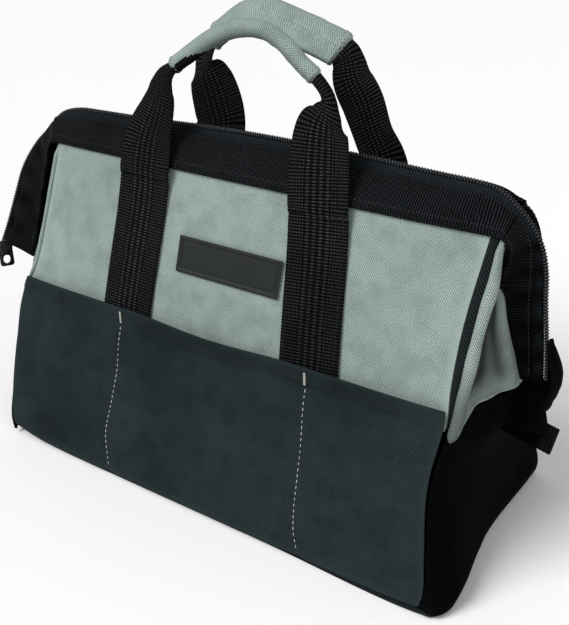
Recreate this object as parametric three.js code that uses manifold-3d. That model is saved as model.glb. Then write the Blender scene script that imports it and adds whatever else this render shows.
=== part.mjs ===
// Zipped tool bag with two webbing handles, standing on its base.
// Millimetres. +X along the bag to its right end, -Y the front, +Z up.
// The origin is on the floor under the middle of the base.

import * as THREE from 'three';
import { mergeVertices } from 'three/addons/utils/BufferGeometryUtils.js';
import Module from 'manifold-3d';

const wasm = await Module();
wasm.setup();

// Bag
const bagLength = 406;
const bagDepth = 202;
const bandFoot = 251; // floor to the lower edge of the mouth band
const mouthDepth = 57; // front panel to back panel at the band foot
const mouthRise = 29; // band foot to the zip
const pocketHeight = 141;
const endHeight = 136; // floor to the top of the black ends
const swell = 3; // how far the front and back stand out at half height
const cornerRound = 4; // how far the side seams fall back at the top
const leftLift = 5; // how far the bottom corners rise
const rightLift = 1.5;
const endBulge = 15;
const endDip = 20; // how far the top of a black end drops at its seams
const gap = 0.3; // between pieces that touch
const seamGap = 0.9; // between pieces along a side seam

// Cloth and webbing thickness
const baseWall = 3;
const panelWall = 2;
const pocketWall = 1.8;
const hemWall = 2.8; // the folded edge of a pocket
const hemHeight = 10;
const endWall = 2;
const gussetWall = 1.8;
const bandWall = 2.2;
const tapeWall = 1;
const strapWall = 2;
const sleeveWall = 1.4;
const pocketPuff = 2.6; // how far a pocket stands out between its seams
const pocketSeam = 90; // bag middle to each dividing seam
const hemDip = 3; // how far the hem sags between the straps

// Side seams
const ridgeWidth = 9;
const ridgeDepth = 8;
const ridgeFoot = 121;
const ridgeDrop = 11.5; // band foot to the top of a ridge
const turnedRidgeWidth = 4.2; // at the left front, where the ridge is turned under
const stripWall = 1.4;
const valleyDepth = 8; // the gusset's inward fold
const crestRise = 4; // and the outward fold beside the mouth

// Zip
const coilRadius = 2.2;
const tapeShow = 10; // coil to the edge of the band
const tapeTuck = 5; // tape hidden under the band
const bandLap = 5; // band below the top of a panel
const backPinch = 7; // how far the back's corner of the mouth falls in at the right end
const legLap = 0.3; // share of the lap left where the band runs down the ends
const bandSwell = 1.5;
const sliderWidth = 11;
const sliderTail = 8; // width at the closed end
const sliderLength = 12.5;
const sliderDepth = 6;
const sliderReach = [1.4, 1.4, -4.4]; // from the end of the zip to the slider's middle
const sliderTurn = -120; // degrees the slider is turned from facing the front
const bridgeWidth = 3.2;
const bridgeReach = 5;
const bridgeWire = 1.8;
const bridgeHole = 5; // height of the hole the pull hangs in
const pullWidth = 12;
const pullLength = 19.5; // pivot to the lower end
const pullWall = 1.8;
const pullBar = 2; // height of the bar inside the bridge
const windowWidth = 5.4;
const windowLength = 5.8;
const eyeWidth = 6.4;
const eyeLength = 9;
const eyeRim = 1.7;
const tailWidth = 16;
const tailWall = 3;
const tailCurl = 1.5; // how far its edges fall back
const tabWall = 2.5;
const tabY = 4;

// Handles
const strapWidth = 50;
const handleHalfSpan = 85;
const handleRise = 111; // band foot to the middle of the grip at its highest
const strapTuck = 14; // strap hidden behind the pocket
const frontReach = 20; // bag middle to the front grip
const backReach = 48;

// Patch
const patchMargin = 12; // patch to the straps on either side
const patchHeight = 27;
const patchWall = 1.6;
const patchX = 6.5;
const patchZ = 193.5;

const halfLength = bagLength / 2;
const halfDepth = bagDepth / 2;
const halfMouth = mouthDepth / 2;
const zipHeight = bandFoot + mouthRise;
const patchWidth = 2 * (handleHalfSpan - patchMargin) - strapWidth;
const lean = (halfDepth - halfMouth) / bandFoot;
const slope = Math.hypot(1, lean);
const panelTop = bandFoot + bandLap - gap; // the band covers the top of the panels
const left = -1;
const right = 1;
const front = -1;
const back = 1;

function cloth(color, roughness) {
  return new THREE.MeshStandardMaterial({ color, roughness, metalness: 0 });
}

const greyCloth = cloth(0x98a8a0, 0.9);
const pocketCloth = cloth(0x232f31, 0.92);
const blackCloth = cloth(0x0c0e10, 0.92);
const webbing = cloth(0x111215, 0.75);
const zipCloth = cloth(0x1b2022, 0.85);
const patchRubber = cloth(0x1c2426, 0.55);
const blackMetal = new THREE.MeshStandardMaterial({
  color: 0x15161a,
  roughness: 0.3,
  metalness: 0.7,
});

const bag = new THREE.Group();

function clean(geometry) {
  geometry.deleteAttribute('normal');
  geometry.deleteAttribute('uv');
  const merged = mergeVertices(geometry, 1e-5);
  if (volume(merged) < 0) {
    const corners = merged.index.array;
    for (let i = 0; i < corners.length; i += 3) {
      [corners[i], corners[i + 1]] = [corners[i + 1], corners[i]];
    }
  }
  merged.computeVertexNormals();
  return merged;
}

function volume(geometry) {
  const a = new THREE.Vector3();
  const b = new THREE.Vector3();
  const c = new THREE.Vector3();
  const spots = geometry.attributes.position;
  const corners = geometry.index.array;
  let sum = 0;
  for (let i = 0; i < corners.length; i += 3) {
    a.fromBufferAttribute(spots, corners[i]);
    b.fromBufferAttribute(spots, corners[i + 1]);
    c.fromBufferAttribute(spots, corners[i + 2]);
    sum += a.dot(b.cross(c)) / 6;
  }
  return sum;
}

// Moves every point of a geometry that fills the unit cube from 0 to 1.
function bend(geometry, place) {
  const spots = geometry.attributes.position;
  for (let i = 0; i < spots.count; i += 1) {
    const spot = place(spots.getX(i), spots.getY(i), spots.getZ(i));
    spots.setXYZ(i, spot.x, spot.y, spot.z);
  }
  return clean(geometry);
}

// A sheet of cloth: place(u, v, w) with u across, v up and w through the wall.
function sheet(across, up, place) {
  const box = new THREE.BoxGeometry(1, 1, 1, across, up, 1);
  box.translate(0.5, 0.5, 0.5);
  return bend(box, place);
}

function add(name, geometry, material) {
  const piece = new THREE.Mesh(geometry, material);
  piece.name = name;
  bag.add(piece);
  return piece;
}

function vector(x, y, z) {
  return new THREE.Vector3(x, y, z);
}

function mix(a, b, share) {
  return a + (b - a) * share;
}

function mixPoints(a, b, share) {
  return a.clone().lerp(b, share);
}

function ease(from, to, value) {
  return THREE.MathUtils.smoothstep(value, from, to);
}

// Smooth value of a table's column, looked up by another column.
function lookUp(table, key, column, at) {
  const last = table.length - 1;
  let i = 0;
  while (i < last - 1 && at > table[i + 1][key]) i += 1;
  const slopeAt = (k) => {
    const a = table[Math.max(k - 1, 0)];
    const b = table[Math.min(k + 1, last)];
    return (b[column] - a[column]) / (b[key] - a[key]);
  };
  const a = table[i];
  const b = table[i + 1];
  const span = b[key] - a[key];
  const t = THREE.MathUtils.clamp((at - a[key]) / span, 0, 1);
  const rise = slopeAt(i) * span;
  const fall = slopeAt(i + 1) * span;
  const h = t * t * (3 - 2 * t);
  return mix(a[column], b[column], h) + rise * t * (1 - t) ** 2 - fall * t * t * (1 - t);
}

// Left and right edges of the front and back, as shares of half the bag's length,
// up the height of the panels.
const sides = [
  { up: 0, left: -0.985, right: 0.99 },
  { up: 0.06, left: -1.028, right: 1.005 },
  { up: 0.15, left: -1.04, right: 0.99 },
  { up: 0.34, left: -1.044, right: 0.957 },
  { up: 0.52, left: -1.012, right: 0.975 },
  { up: 0.62, left: -0.966, right: 0.965 },
  { up: 0.78, left: -0.938, right: 0.966 },
  { up: 1, left: -0.916, right: 0.992 },
];

function edgeX(end, z) {
  return halfLength * lookUp(sides, 'up', end === left ? 'left' : 'right', z / bandFoot);
}

// How far the outer face of the front or back is from the bag's middle plane.
function reach(x, z) {
  const squarer = mix(0.15, 1, z / bandFoot);
  const fall = cornerRound * squarer * Math.min(Math.abs(x / halfLength), 1.05) ** 8;
  return halfDepth - lean * z + swell * Math.sin((Math.PI * z) / bandFoot) - fall;
}

// A point outside the front or back by out.
function onPanel(side, x, z, out) {
  return vector(x, side * (reach(x, z) + out / slope), z + (out * lean) / slope);
}

// Height of the bottom edge, lifted towards the corners.
function lift(u, v) {
  return (u < 0 ? leftLift : rightLift) * Math.abs(u * v) ** 9;
}

function denser(u) {
  return Math.sin((u - 0.5) * Math.PI);
}

// Black ends: bulge as a share of endBulge at the front seam and at places front to back.

const endRows = {
  right: [
    { up: 0, seam: 0.72, front: 1.05, middle: 0.1, back: 0 },
    { up: 0.1, seam: 0.6, front: 1.05, middle: 0.15, back: 0.05 },
    { up: 0.3, seam: 0.1, front: 0.65, middle: 0.25, back: 0.1 },
    { up: 0.6, seam: 0, front: 0.4, middle: 0.55, back: 0.2 },
    { up: 0.85, seam: 0, front: 0.25, middle: 1.05, back: 0.3 },
    { up: 1, seam: 0, front: 0.1, middle: 1.2, back: 0.1 },
  ],
  left: [
    { up: 0, seam: 0.1, front: 0.3, middle: 0.35, back: 0.3 },
    { up: 0.1, seam: 0.1, front: 0.45, middle: 0.5, back: 0.45 },
    { up: 0.3, seam: 0, front: 0.4, middle: 0.5, back: 0.45 },
    { up: 0.6, seam: 0, front: 0.25, middle: 0.4, back: 0.35 },
    { up: 0.85, seam: 0, front: 0.15, middle: 0.2, back: 0.2 },
    { up: 1, seam: 0, front: 0.1, middle: 0.05, back: 0.05 },
  ],
};

function bulgeAt(end, across, up) {
  const rows = end === left ? endRows.left : endRows.right;
  const places = [
    { at: -1, bulge: 0 },
    { at: -0.966, bulge: lookUp(rows, 'up', 'seam', up) },
    { at: -0.78, bulge: lookUp(rows, 'up', 'front', up) },
    { at: 0, bulge: lookUp(rows, 'up', 'middle', up) },
    { at: 0.78, bulge: lookUp(rows, 'up', 'back', up) },
    { at: 1, bulge: 0 },
  ];
  return endBulge * Math.max(lookUp(places, 'at', 'bulge', across), 0);
}

// Base

add(
  'base_panel',
  sheet(10, 12, (u, v, w) => {
    const across = denser(u);
    const along = denser(v);
    const z = lift(across, along);
    const end = across < 0 ? left : right;
    const bulge = bulgeAt(end, along, 0) * across ** 6;
    const x = Math.abs(across) * edgeX(end, z) + end * bulge;
    const rim = mix(-panelWall, pocketWall, ease(0.3, 1, across));
    const y = Math.min(Math.abs(along) * 1.02, 1) * (reach(x, z) + rim);
    return vector(x, Math.sign(along) * y, z + w * baseWall);
  }),
  blackCloth,
);

// Front and back

function wallFoot(x) {
  const drop = panelWall * lean;
  return baseWall + gap + drop + 1.1 * lift(THREE.MathUtils.clamp(x / halfLength, -1, 1), 1);
}

const panelRows = [0, 0.06, 0.15, 0.26, 0.33, 0.41, 0.5, 0.56, 0.62, 0.69, 0.8, 0.9, 1];

for (const side of [front, back]) {
  const name = side === front ? 'front' : 'back';
  add(
    `${name}_panel`,
    sheet(10, panelRows.length - 1, (u, v, w) => {
      const across = (denser(u) + 1) / 2;
      const up = panelRows[Math.round(v * (panelRows.length - 1))];
      const z = mix(wallFoot(mix(-halfLength, halfLength, across)), panelTop, up);
      const x = mix(edgeX(left, z), edgeX(right, z), across);
      return onPanel(side, x, z, (w - 1) * panelWall);
    }),
    greyCloth,
  );
}

// Pockets: the sheet hangs a strap's thickness off the panel at its hem.

function pocketOut(x, z) {
  const behindStrap = (strapWall + gap) * ease(0.6 * pocketHeight, 0.84 * pocketHeight, z);
  const fromSeam = Math.abs(x) - pocketSeam;
  const bay = fromSeam < 0 ? pocketSeam : (halfLength - pocketSeam) / 2;
  const middle = fromSeam < 0 ? 0 : pocketSeam + bay;
  const bow = Math.cos(THREE.MathUtils.clamp((Math.abs(x) - middle) / bay, -1, 1) * (Math.PI / 2));
  const belly = Math.sin((Math.PI * Math.min(z, pocketHeight)) / pocketHeight);
  const fade = 1 - ease(0.6 * pocketHeight, 0.9 * pocketHeight, z);
  return 1.6 * gap + behindStrap + pocketPuff * bow * belly * fade;
}

function hemTop(x) {
  const sag = Math.cos(THREE.MathUtils.clamp(x / handleHalfSpan, -1, 1) * (Math.PI / 2));
  return pocketHeight - hemDip * sag * sag;
}

const pocketRows = [0, 0.07, 0.22, 0.42, 0.62, 0.8, 0.92, 1]; // shares of the height below the hem
const hemRows = [1, 0.5, 0]; // shares of the hem's height below its top

for (const side of [front, back]) {
  const name = side === front ? 'front' : 'back';
  const rowCount = pocketRows.length + hemRows.length;
  add(
    `${name}_pocket`,
    sheet(18, rowCount - 1, (u, v, w) => {
      const row = Math.round(v * (rowCount - 1));
      const inHem = row >= pocketRows.length;
      const span = mix(-halfLength, halfLength, u);
      const top = hemTop(span);
      const z = inHem
        ? top - hemHeight * hemRows[row - pocketRows.length]
        : mix(wallFoot(span), top - hemHeight - 2 * gap, pocketRows[row]);
      const x = mix(edgeX(left, z), edgeX(right, z), u);
      return onPanel(side, x, z, pocketOut(x, z) + w * (inHem ? hemWall : pocketWall));
    }),
    pocketCloth,
  );
}

// Outer face of a black end.
function endX(end, across, z) {
  return edgeX(end, z) + end * (seamGap + bulgeAt(end, across, z / endHeight) + endWall);
}

for (const end of [left, right]) {
  const name = end === left ? 'left' : 'right';
  add(
    `${name}_end_panel`,
    sheet(12, 8, (u, v, w) => {
      const across = denser(u);
      const foot = baseWall + gap + lift(1, across);
      const top = endHeight - endDip * Math.abs(across) ** 6;
      const z = mix(foot, top, v);
      const deep = reach(edgeX(end, z), z) + pocketWall * (1 - v);
      const turn = ease(0.93, 1, Math.abs(across));
      const inward = (1 - w) * endWall;
      const x = endX(end, across, z) - end * (inward * (1 - turn) + endWall * turn);
      const y = Math.min(Math.abs(across) * 1.035, 1) * deep - inward * turn;
      return vector(x, Math.sign(across) * y, z);
    }),
    blackCloth,
  );
}

// Mouth: the zip's line and the lower edge of the band, from the foot of the left ear,
// over the top and down to the foot of the right ear. zipX and edgeX are shares of half the
// length, zipZ and edgeZ of the zip's height, middle of half the depth, apart of half the
// mouth's depth.
const mouth = [
  { zipX: -1.167, zipZ: 0.581, edgeX: -1.0, edgeZ: 0.55, middle: -0.535, apart: 0.12, lap: 0 },
  { zipX: -1.152, zipZ: 0.654, edgeX: -0.985, edgeZ: 0.629, middle: -0.45, apart: 0.2, lap: 0 },
  { zipX: -1.142, zipZ: 0.732, edgeX: -0.972, edgeZ: 0.707, middle: -0.36, apart: 0.32, lap: 0 },
  { zipX: -1.136, zipZ: 0.804, edgeX: -0.963, edgeZ: 0.779, middle: -0.265, apart: 0.47, lap: 0 },
  { zipX: -1.113, zipZ: 0.867, edgeX: -0.956, edgeZ: 0.843, middle: -0.15, apart: 0.68, lap: 0 },
  { zipX: -1.08, zipZ: 0.912, edgeX: -0.951, edgeZ: 0.882, middle: -0.07, apart: 0.87, lap: 0.4 },
  { zipX: -1.042, zipZ: 0.945, edgeX: -0.945, edgeZ: 0.905, middle: -0.02, apart: 0.98, lap: 0.9 },
  { zipX: -0.985, zipZ: 0.969, edgeX: -0.93, edgeZ: 0.9125, middle: -0.005, apart: 1, lap: 1 },
  { zipX: -0.9, zipZ: 0.982, edgeX: -0.89, edgeZ: 0.9143, middle: 0, apart: 1, lap: 1 },
  { zipX: -0.8, zipZ: 0.985, edgeX: -0.8, edgeZ: 0.9143, middle: 0, apart: 1, lap: 1 },
  { zipX: -0.53, zipZ: 0.99, edgeX: -0.53, edgeZ: 0.9143, middle: 0, apart: 1, lap: 1 },
  { zipX: -0.2, zipZ: 1.0, edgeX: -0.2, edgeZ: 0.9143, middle: 0, apart: 1, lap: 1 },
  { zipX: 0.13, zipZ: 1.003, edgeX: 0.13, edgeZ: 0.9143, middle: 0, apart: 1, lap: 1 },
  { zipX: 0.45, zipZ: 0.998, edgeX: 0.45, edgeZ: 0.9143, middle: 0, apart: 1, lap: 1 },
  { zipX: 0.72, zipZ: 0.991, edgeX: 0.72, edgeZ: 0.9143, middle: 0, apart: 1, lap: 1 },
  { zipX: 0.88, zipZ: 0.988, edgeX: 0.89, edgeZ: 0.9143, middle: 0, apart: 1, lap: 1 },
  { zipX: 0.95, zipZ: 0.981, edgeX: 0.97, edgeZ: 0.913, middle: 0, apart: 1, lap: 1 },
  { zipX: 1.005, zipZ: 0.958, edgeX: 1.02, edgeZ: 0.909, middle: 0, apart: 0.99, lap: 0.95 },
  { zipX: 1.052, zipZ: 0.928, edgeX: 1.045, edgeZ: 0.897, middle: 0, apart: 0.96, lap: 0.6 },
  { zipX: 1.092, zipZ: 0.894, edgeX: 1.052, edgeZ: 0.875, middle: 0, apart: 0.82, lap: 0.1 },
  { zipX: 1.122, zipZ: 0.852, edgeX: 1.045, edgeZ: 0.845, middle: 0, apart: 0.66, lap: 0 },
  { zipX: 1.14, zipZ: 0.793, edgeX: 1.025, edgeZ: 0.79, middle: 0, apart: 0.54, lap: 0 },
  { zipX: 1.147, zipZ: 0.729, edgeX: 1.015, edgeZ: 0.724, middle: 0, apart: 0.44, lap: 0 },
  { zipX: 1.16, zipZ: 0.65, edgeX: 1.033, edgeZ: 0.643, middle: 0, apart: 0.3, lap: 0 },
  { zipX: 1.17, zipZ: 0.579, edgeX: 1.06, edgeZ: 0.571, middle: 0, apart: 0.2, lap: 0 },
  { zipX: 1.176, zipZ: 0.525, edgeX: 1.085, edgeZ: 0.514, middle: 0, apart: 0.14, lap: 0 },
];
const lastMouth = mouth.length - 1;

function mouthPoints(pick) {
  return new THREE.CatmullRomCurve3(mouth.map(pick), false, 'catmullrom');
}

const zipLine = mouthPoints((row) =>
  vector(
    row.zipX * halfLength,
    row.middle * halfDepth * (row.zipZ < 0.9 ? 1.1 : 0.6),
    row.zipZ * zipHeight,
  ),
);

function edgePoint(row, side) {
  const free = row.middle * halfDepth + side * row.apart * halfMouth;
  const pinch = side === back ? backPinch * ease(0.9, 1.03, row.edgeX) : 0;
  const x = row.edgeX * halfLength - pinch;
  const z = row.edgeZ * zipHeight;
  const laid = onPanel(side, x, z, seamGap).y;
  return vector(x, row.lap === 1 ? laid : mix(free, laid, ease(0.5, 1, row.lap)), z);
}

const edgeLines = {
  [front]: mouthPoints((row) => edgePoint(row, front)),
  [back]: mouthPoints((row) => edgePoint(row, back)),
};
const lapLine = mouthPoints((row) => vector(row.lap, 0, 0));

// The frame of the mouth at t: zip point, band edge, outward normal and lap direction.
function mouthAt(t, side) {
  const zip = zipLine.getPoint(t);
  const edge = edgeLines[side].getPoint(t);
  const along = zipLine.getTangent(t);
  const over = zip.clone().sub(edge);
  const width = over.length();
  const outward = along.clone().cross(over).normalize().multiplyScalar(-side);
  const lap = THREE.MathUtils.clamp(lapLine.getPoint(t).x, 0, 1);
  const down = vector(0, side * lean, -1).normalize();
  const straight = over.clone().normalize().negate();
  const lapWay = mixPoints(straight, down, lap).multiplyScalar(bandLap * mix(legLap, 1, lap));
  return { zip, edge, outward, width, lapWay };
}

// A point on the mouth's cloth: -1 is the end of the band's lap, 0 its fold and 1 the zip.
function onMouth(frame, share, out) {
  const { zip, edge, outward, lapWay } = frame;
  const rim = zip.clone().addScaledVector(outward, tapeWall + 2 * gap);
  const spot = mixPoints(edge, rim, Math.max(share, 0));
  if (share < 0) spot.addScaledVector(lapWay, -share);
  return spot.addScaledVector(outward, out);
}

const bandSteps = 46;
const zipStart = 0.006; // share of the mouth below the first tooth, for the slider

for (const side of [front, back]) {
  const name = side === front ? 'front' : 'back';
  add(
    `mouth_band_${name}`,
    sheet(bandSteps, 3, (u, v, w) => {
      const frame = mouthAt(mix(zipStart, 1, u), side);
      const top = 1 - tapeShow / frame.width;
      const share = v === 0 ? -1 : mix(0, top, (v * 3 - 1) / 2);
      const bow = share > 0 ? bandSwell * Math.sin(Math.PI * share) : 0;
      return onMouth(frame, share, bow + w * bandWall);
    }),
    webbing,
  );
  add(
    `zip_tape_${name}`,
    sheet(bandSteps, 1, (u, v, w) => {
      const frame = mouthAt(mix(zipStart, 1, u), side);
      const low = 1 - (tapeShow + tapeTuck) / frame.width;
      const high = 1 - (coilRadius + gap) / frame.width;
      return onMouth(frame, mix(low, high, v), -gap - (1 - w) * tapeWall);
    }),
    zipCloth,
  );
}

const coilTube = new THREE.CylinderGeometry(1, 1, 1, 6, bandSteps);
coilTube.rotateX(Math.PI / 2);
coilTube.translate(0, 0, 0.5);
add(
  'zip_coil',
  bend(coilTube, (a, b, along) => {
    const spot = zipLine.getPoint(mix(zipStart, 1, along));
    const way = zipLine.getTangent(mix(zipStart, 1, along));
    const depth = vector(0, 1, 0).addScaledVector(way, -way.y).normalize();
    const out = depth.clone().cross(way).normalize();
    return spot.addScaledVector(depth, a * coilRadius).addScaledVector(out, b * coilRadius);
  }),
  zipCloth,
);

// Seam ridges and the strips beside them. shift is the ridge's distance from the panel.

const seamRows = [
  { up: 0, shift: 0.05 },
  { up: 0.17, shift: 0.45 },
  { up: 0.4, shift: 0.9 },
  { up: 0.8, shift: 1 },
  { up: 1, shift: 1.15 },
];
const stripWidth = 6;
const ridgeTop = bandFoot - ridgeDrop;

function seamShift(z) {
  const up = (z - ridgeFoot) / (ridgeTop - ridgeFoot);
  return stripWidth * lookUp(seamRows, 'up', 'shift', up);
}

const seams = [
  { name: 'front_left', side: front, end: left, turned: true },
  { name: 'front_right', side: front, end: right, turned: false },
  { name: 'back_left', side: back, end: left, turned: false },
  { name: 'back_right', side: back, end: right, turned: false },
];

// Middle of a seam's ridge at a height.
function ridgeAt(seam, z) {
  const width = seam.turned ? turnedRidgeWidth : ridgeWidth;
  const shift = seam.turned ? 0 : seamShift(z);
  const x = edgeX(seam.end, z) + seam.end * (seamGap + shift + width / 2);
  return vector(x, seam.side * reach(x, z), z);
}

for (const seam of seams) {
  const width = seam.turned ? turnedRidgeWidth : ridgeWidth;
  const foot = seam.turned ? endHeight + 6 * gap : ridgeFoot;
  const tube = new THREE.CylinderGeometry(0.5, 0.5, 1, 8, 9);
  tube.rotateX(Math.PI / 2);
  tube.translate(0, 0, 0.5);
  add(
    `ridge_${seam.name}`,
    bend(tube, (a, b, along) => {
      const end = Math.sqrt(1 - (1 - Math.min(along * 6, 1)) ** 2 * 0.6);
      const centre = ridgeAt(seam, mix(foot, ridgeTop, along));
      return centre.add(vector(a * width * end, b * ridgeDepth * end, 0));
    }),
    greyCloth,
  );
  if (seam.turned) continue;
  add(
    `strip_${seam.name}`,
    sheet(1, 7, (u, v, w) => {
      const z = mix(pocketHeight + 3, ridgeTop, v);
      const x = edgeX(seam.end, z) + seam.end * (seamGap + u * (seamShift(z) - seamGap));
      return onPanel(seam.side, x, z, (w - 1) * stripWall - gap);
    }),
    blackCloth,
  );
}

// Gussets: from the back of a ridge to the band's edge, folded in and out between.

const folds = [
  { along: 0, fold: 0 },
  { along: 0.3, fold: -1 },
  { along: 0.6, fold: -0.35 },
  { along: 0.82, fold: 0.5 },
  { along: 1, fold: 0 },
];
const gussetHem = { [left]: 4.2, [right]: 1.5 }; // above the top of the black end
const gussetReach = 4; // at the left end the hem runs on past the mouth's foot

function gusset(seam, fromMouth, toMouth) {
  const out = vector(seam.end * 0.96, seam.side * 0.28, 0).normalize();
  return sheet(8, 9, (u, v, w) => {
    const rise = v < 0.12 ? v * 0.4 : v;
    const frame = mouthAt(mix(fromMouth, toMouth, rise), seam.side);
    const end = onMouth(frame, -1 - seamGap / bandLap, bandWall + seamGap);
    const low = endHeight + gussetHem[seam.end] - endDip * (0.88 - 0.84 * u) ** 6;
    const z = mix(low, ridgeTop, rise);
    const start = ridgeAt(seam, z);
    start.y -= seam.side * (ridgeDepth / 2 + seamGap + gussetWall);
    const spot = mixPoints(start, end, u);
    const open = (1 - rise) * ease(-0.25, 0.3, rise);
    const fold = lookUp(folds, 'along', 'fold', u);
    const deep = fold < 0 ? valleyDepth * fold : (crestRise / 0.5) * fold;
    const roll = v < 0.12 ? gussetWall : 0;
    if (seam.end === left && v === 0) {
      spot.z = low;
      spot.y -= gussetReach * u;
    }
    return spot.addScaledVector(out, deep * open + w * gussetWall + (w - 0.5) * roll);
  });
}

const rightFoot = 1;
const rightTop = (lastMouth - 5.3) / lastMouth;
const leftTop = 5 / lastMouth;

for (const seam of seams) {
  if (seam.turned) continue;
  const from = seam.end === right ? rightFoot : 0;
  const to = seam.end === right ? rightTop : leftTop;
  add(`gusset_${seam.name}`, gusset(seam, from, to), greyCloth);
}

// Slider and pull

function solid(geometry) {
  const merged = clean(geometry);
  return new wasm.Manifold(
    new wasm.Mesh({
      numProp: 3,
      vertProperties: Float32Array.from(merged.attributes.position.array),
      triVerts: Uint32Array.from(merged.index.array),
    }),
  );
}

function fromSolid(body) {
  const mesh = body.getMesh();
  const geometry = new THREE.BufferGeometry();
  geometry.setAttribute('position', new THREE.BufferAttribute(mesh.vertProperties, 3));
  geometry.setIndex(new THREE.BufferAttribute(mesh.triVerts, 1));
  return clean(geometry);
}

function roundBox(width, low, high, round) {
  const shape = new THREE.Shape();
  const half = width / 2;
  shape.moveTo(-half + round, low);
  shape.lineTo(half - round, low);
  shape.absarc(half - round, low + round, round, -Math.PI / 2, 0);
  shape.absarc(half - round, high - round, round, 0, Math.PI / 2);
  shape.absarc(-half + round, high - round, round, Math.PI / 2, Math.PI);
  shape.absarc(-half + round, low + round, round, Math.PI, Math.PI * 1.5);
  return shape;
}

// Turns a shape drawn facing the front to stand on the zip at the left end.
function onZip(geometry) {
  geometry.rotateX(Math.PI / 2);
  geometry.rotateZ(THREE.MathUtils.degToRad(sliderTurn));
  const foot = zipLine.getPoint(0).add(vector(...sliderReach));
  geometry.translate(foot.x, foot.y, foot.z);
  return geometry;
}

const holeFoot = -0.9; // below the middle of the slider
const pivotZ = holeFoot + pullBar / 2 + gap + 0.1;
const pivotOut = sliderDepth / 2 + (bridgeReach - bridgeWire) / 2;

const sliderShape = new THREE.Shape();
sliderShape.moveTo(-sliderTail / 2, -sliderLength / 2);
sliderShape.lineTo(sliderTail / 2, -sliderLength / 2);
sliderShape.lineTo(sliderWidth / 2, sliderLength / 8);
sliderShape.lineTo(sliderWidth / 2 - 1, sliderLength / 2 - 1);
sliderShape.quadraticCurveTo(0, sliderLength / 2 + 1, 1 - sliderWidth / 2, sliderLength / 2 - 1);
sliderShape.lineTo(-sliderWidth / 2, sliderLength / 8);
sliderShape.closePath();
const sliderBody = new THREE.ExtrudeGeometry(sliderShape, {
  depth: sliderDepth,
  bevelEnabled: false,
  curveSegments: 3,
});
sliderBody.translate(0, 0, -sliderDepth / 2);

const bridgeShape = new THREE.Shape();
const bridgeLow = holeFoot - bridgeWire;
const bridgeHigh = holeFoot + bridgeHole + bridgeWire;
bridgeShape.moveTo(0, bridgeLow);
bridgeShape.lineTo(bridgeReach - 1, bridgeLow);
bridgeShape.lineTo(bridgeReach, bridgeLow + 1);
bridgeShape.lineTo(bridgeReach, bridgeHigh - 1);
bridgeShape.lineTo(bridgeReach - 1, bridgeHigh);
bridgeShape.lineTo(0, bridgeHigh);
bridgeShape.lineTo(0, holeFoot + bridgeHole);
bridgeShape.lineTo(bridgeReach - bridgeWire, holeFoot + bridgeHole);
bridgeShape.lineTo(bridgeReach - bridgeWire, holeFoot);
bridgeShape.lineTo(0, holeFoot);
bridgeShape.closePath();
const bridge = new THREE.ExtrudeGeometry(bridgeShape, {
  depth: bridgeWidth,
  bevelEnabled: false,
});
bridge.translate(0, 0, -bridgeWidth / 2);
bridge.rotateY(-Math.PI / 2);
bridge.translate(0, 0, sliderDepth / 2 - 0.01);
add('zip_slider', onZip(fromSolid(solid(sliderBody).add(solid(bridge)))), blackMetal);

const pullShape = roundBox(pullWidth, -pullLength, pullBar / 2, 2.4);
pullShape.holes.push(roundBox(windowWidth, -pullBar / 2 - windowLength, -pullBar / 2, 0.8));
const eye = new THREE.Path();
const eyeMiddle = eyeRim + eyeLength / 2 - pullLength;
eye.absellipse(0, eyeMiddle, eyeWidth / 2, eyeLength / 2, 0, Math.PI * 2, true, 0);
pullShape.holes.push(eye);
const pull = new THREE.ExtrudeGeometry(pullShape, {
  depth: pullWall,
  bevelEnabled: false,
  curveSegments: 4,
});
pull.translate(0, pivotZ, pivotOut - pullWall / 2);
add('zip_pull', onZip(clean(pull)), blackMetal);

// Loose end of the zip at the right, and the tab of webbing below it. out is the outer
// face's distance past half the length, as shares of the tail's own width.

const tailRows = [
  { z: 0.45, out: 2.5 },
  { z: 0.468, out: 2.6 },
  { z: 0.5, out: 2.79 },
  { z: 0.53, out: 2.87 },
  { z: 0.56, out: 2.8 },
  { z: 0.597, out: 2.55 },
  { z: 0.637, out: 2.42 },
];

add(
  'zip_tail',
  sheet(4, 10, (u, v, w) => {
    const z = zipHeight * mix(tailRows[0].z, tailRows[tailRows.length - 1].z, v);
    const out = tailWidth * lookUp(tailRows, 'z', 'out', z / zipHeight);
    const curl = tailCurl * (2 * u - 1) ** 2;
    const x = halfLength + out - curl - (1 - w) * tailWall;
    return vector(x, (u - 0.5) * tailWidth, z);
  }),
  zipCloth,
);

const tabCorners = { topX: 1.236, topZ: 0.393, lowX: 1.212, lowZ: 0.314, rise: 0.22 };

add(
  'zip_tab',
  sheet(5, 2, (u, v, w) => {
    const farX = halfLength * mix(tabCorners.lowX, tabCorners.topX, v);
    const farZ = zipHeight * mix(tabCorners.lowZ, tabCorners.topZ, v);
    const nearX = endX(right, tabY / halfDepth, farZ + 6) + 4 * gap;
    const x = mix(nearX, farX, u);
    return vector(x, tabY + (w - 0.5) * tabWall, farZ + (farX - x) * tabCorners.rise);
  }),
  webbing,
);

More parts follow.
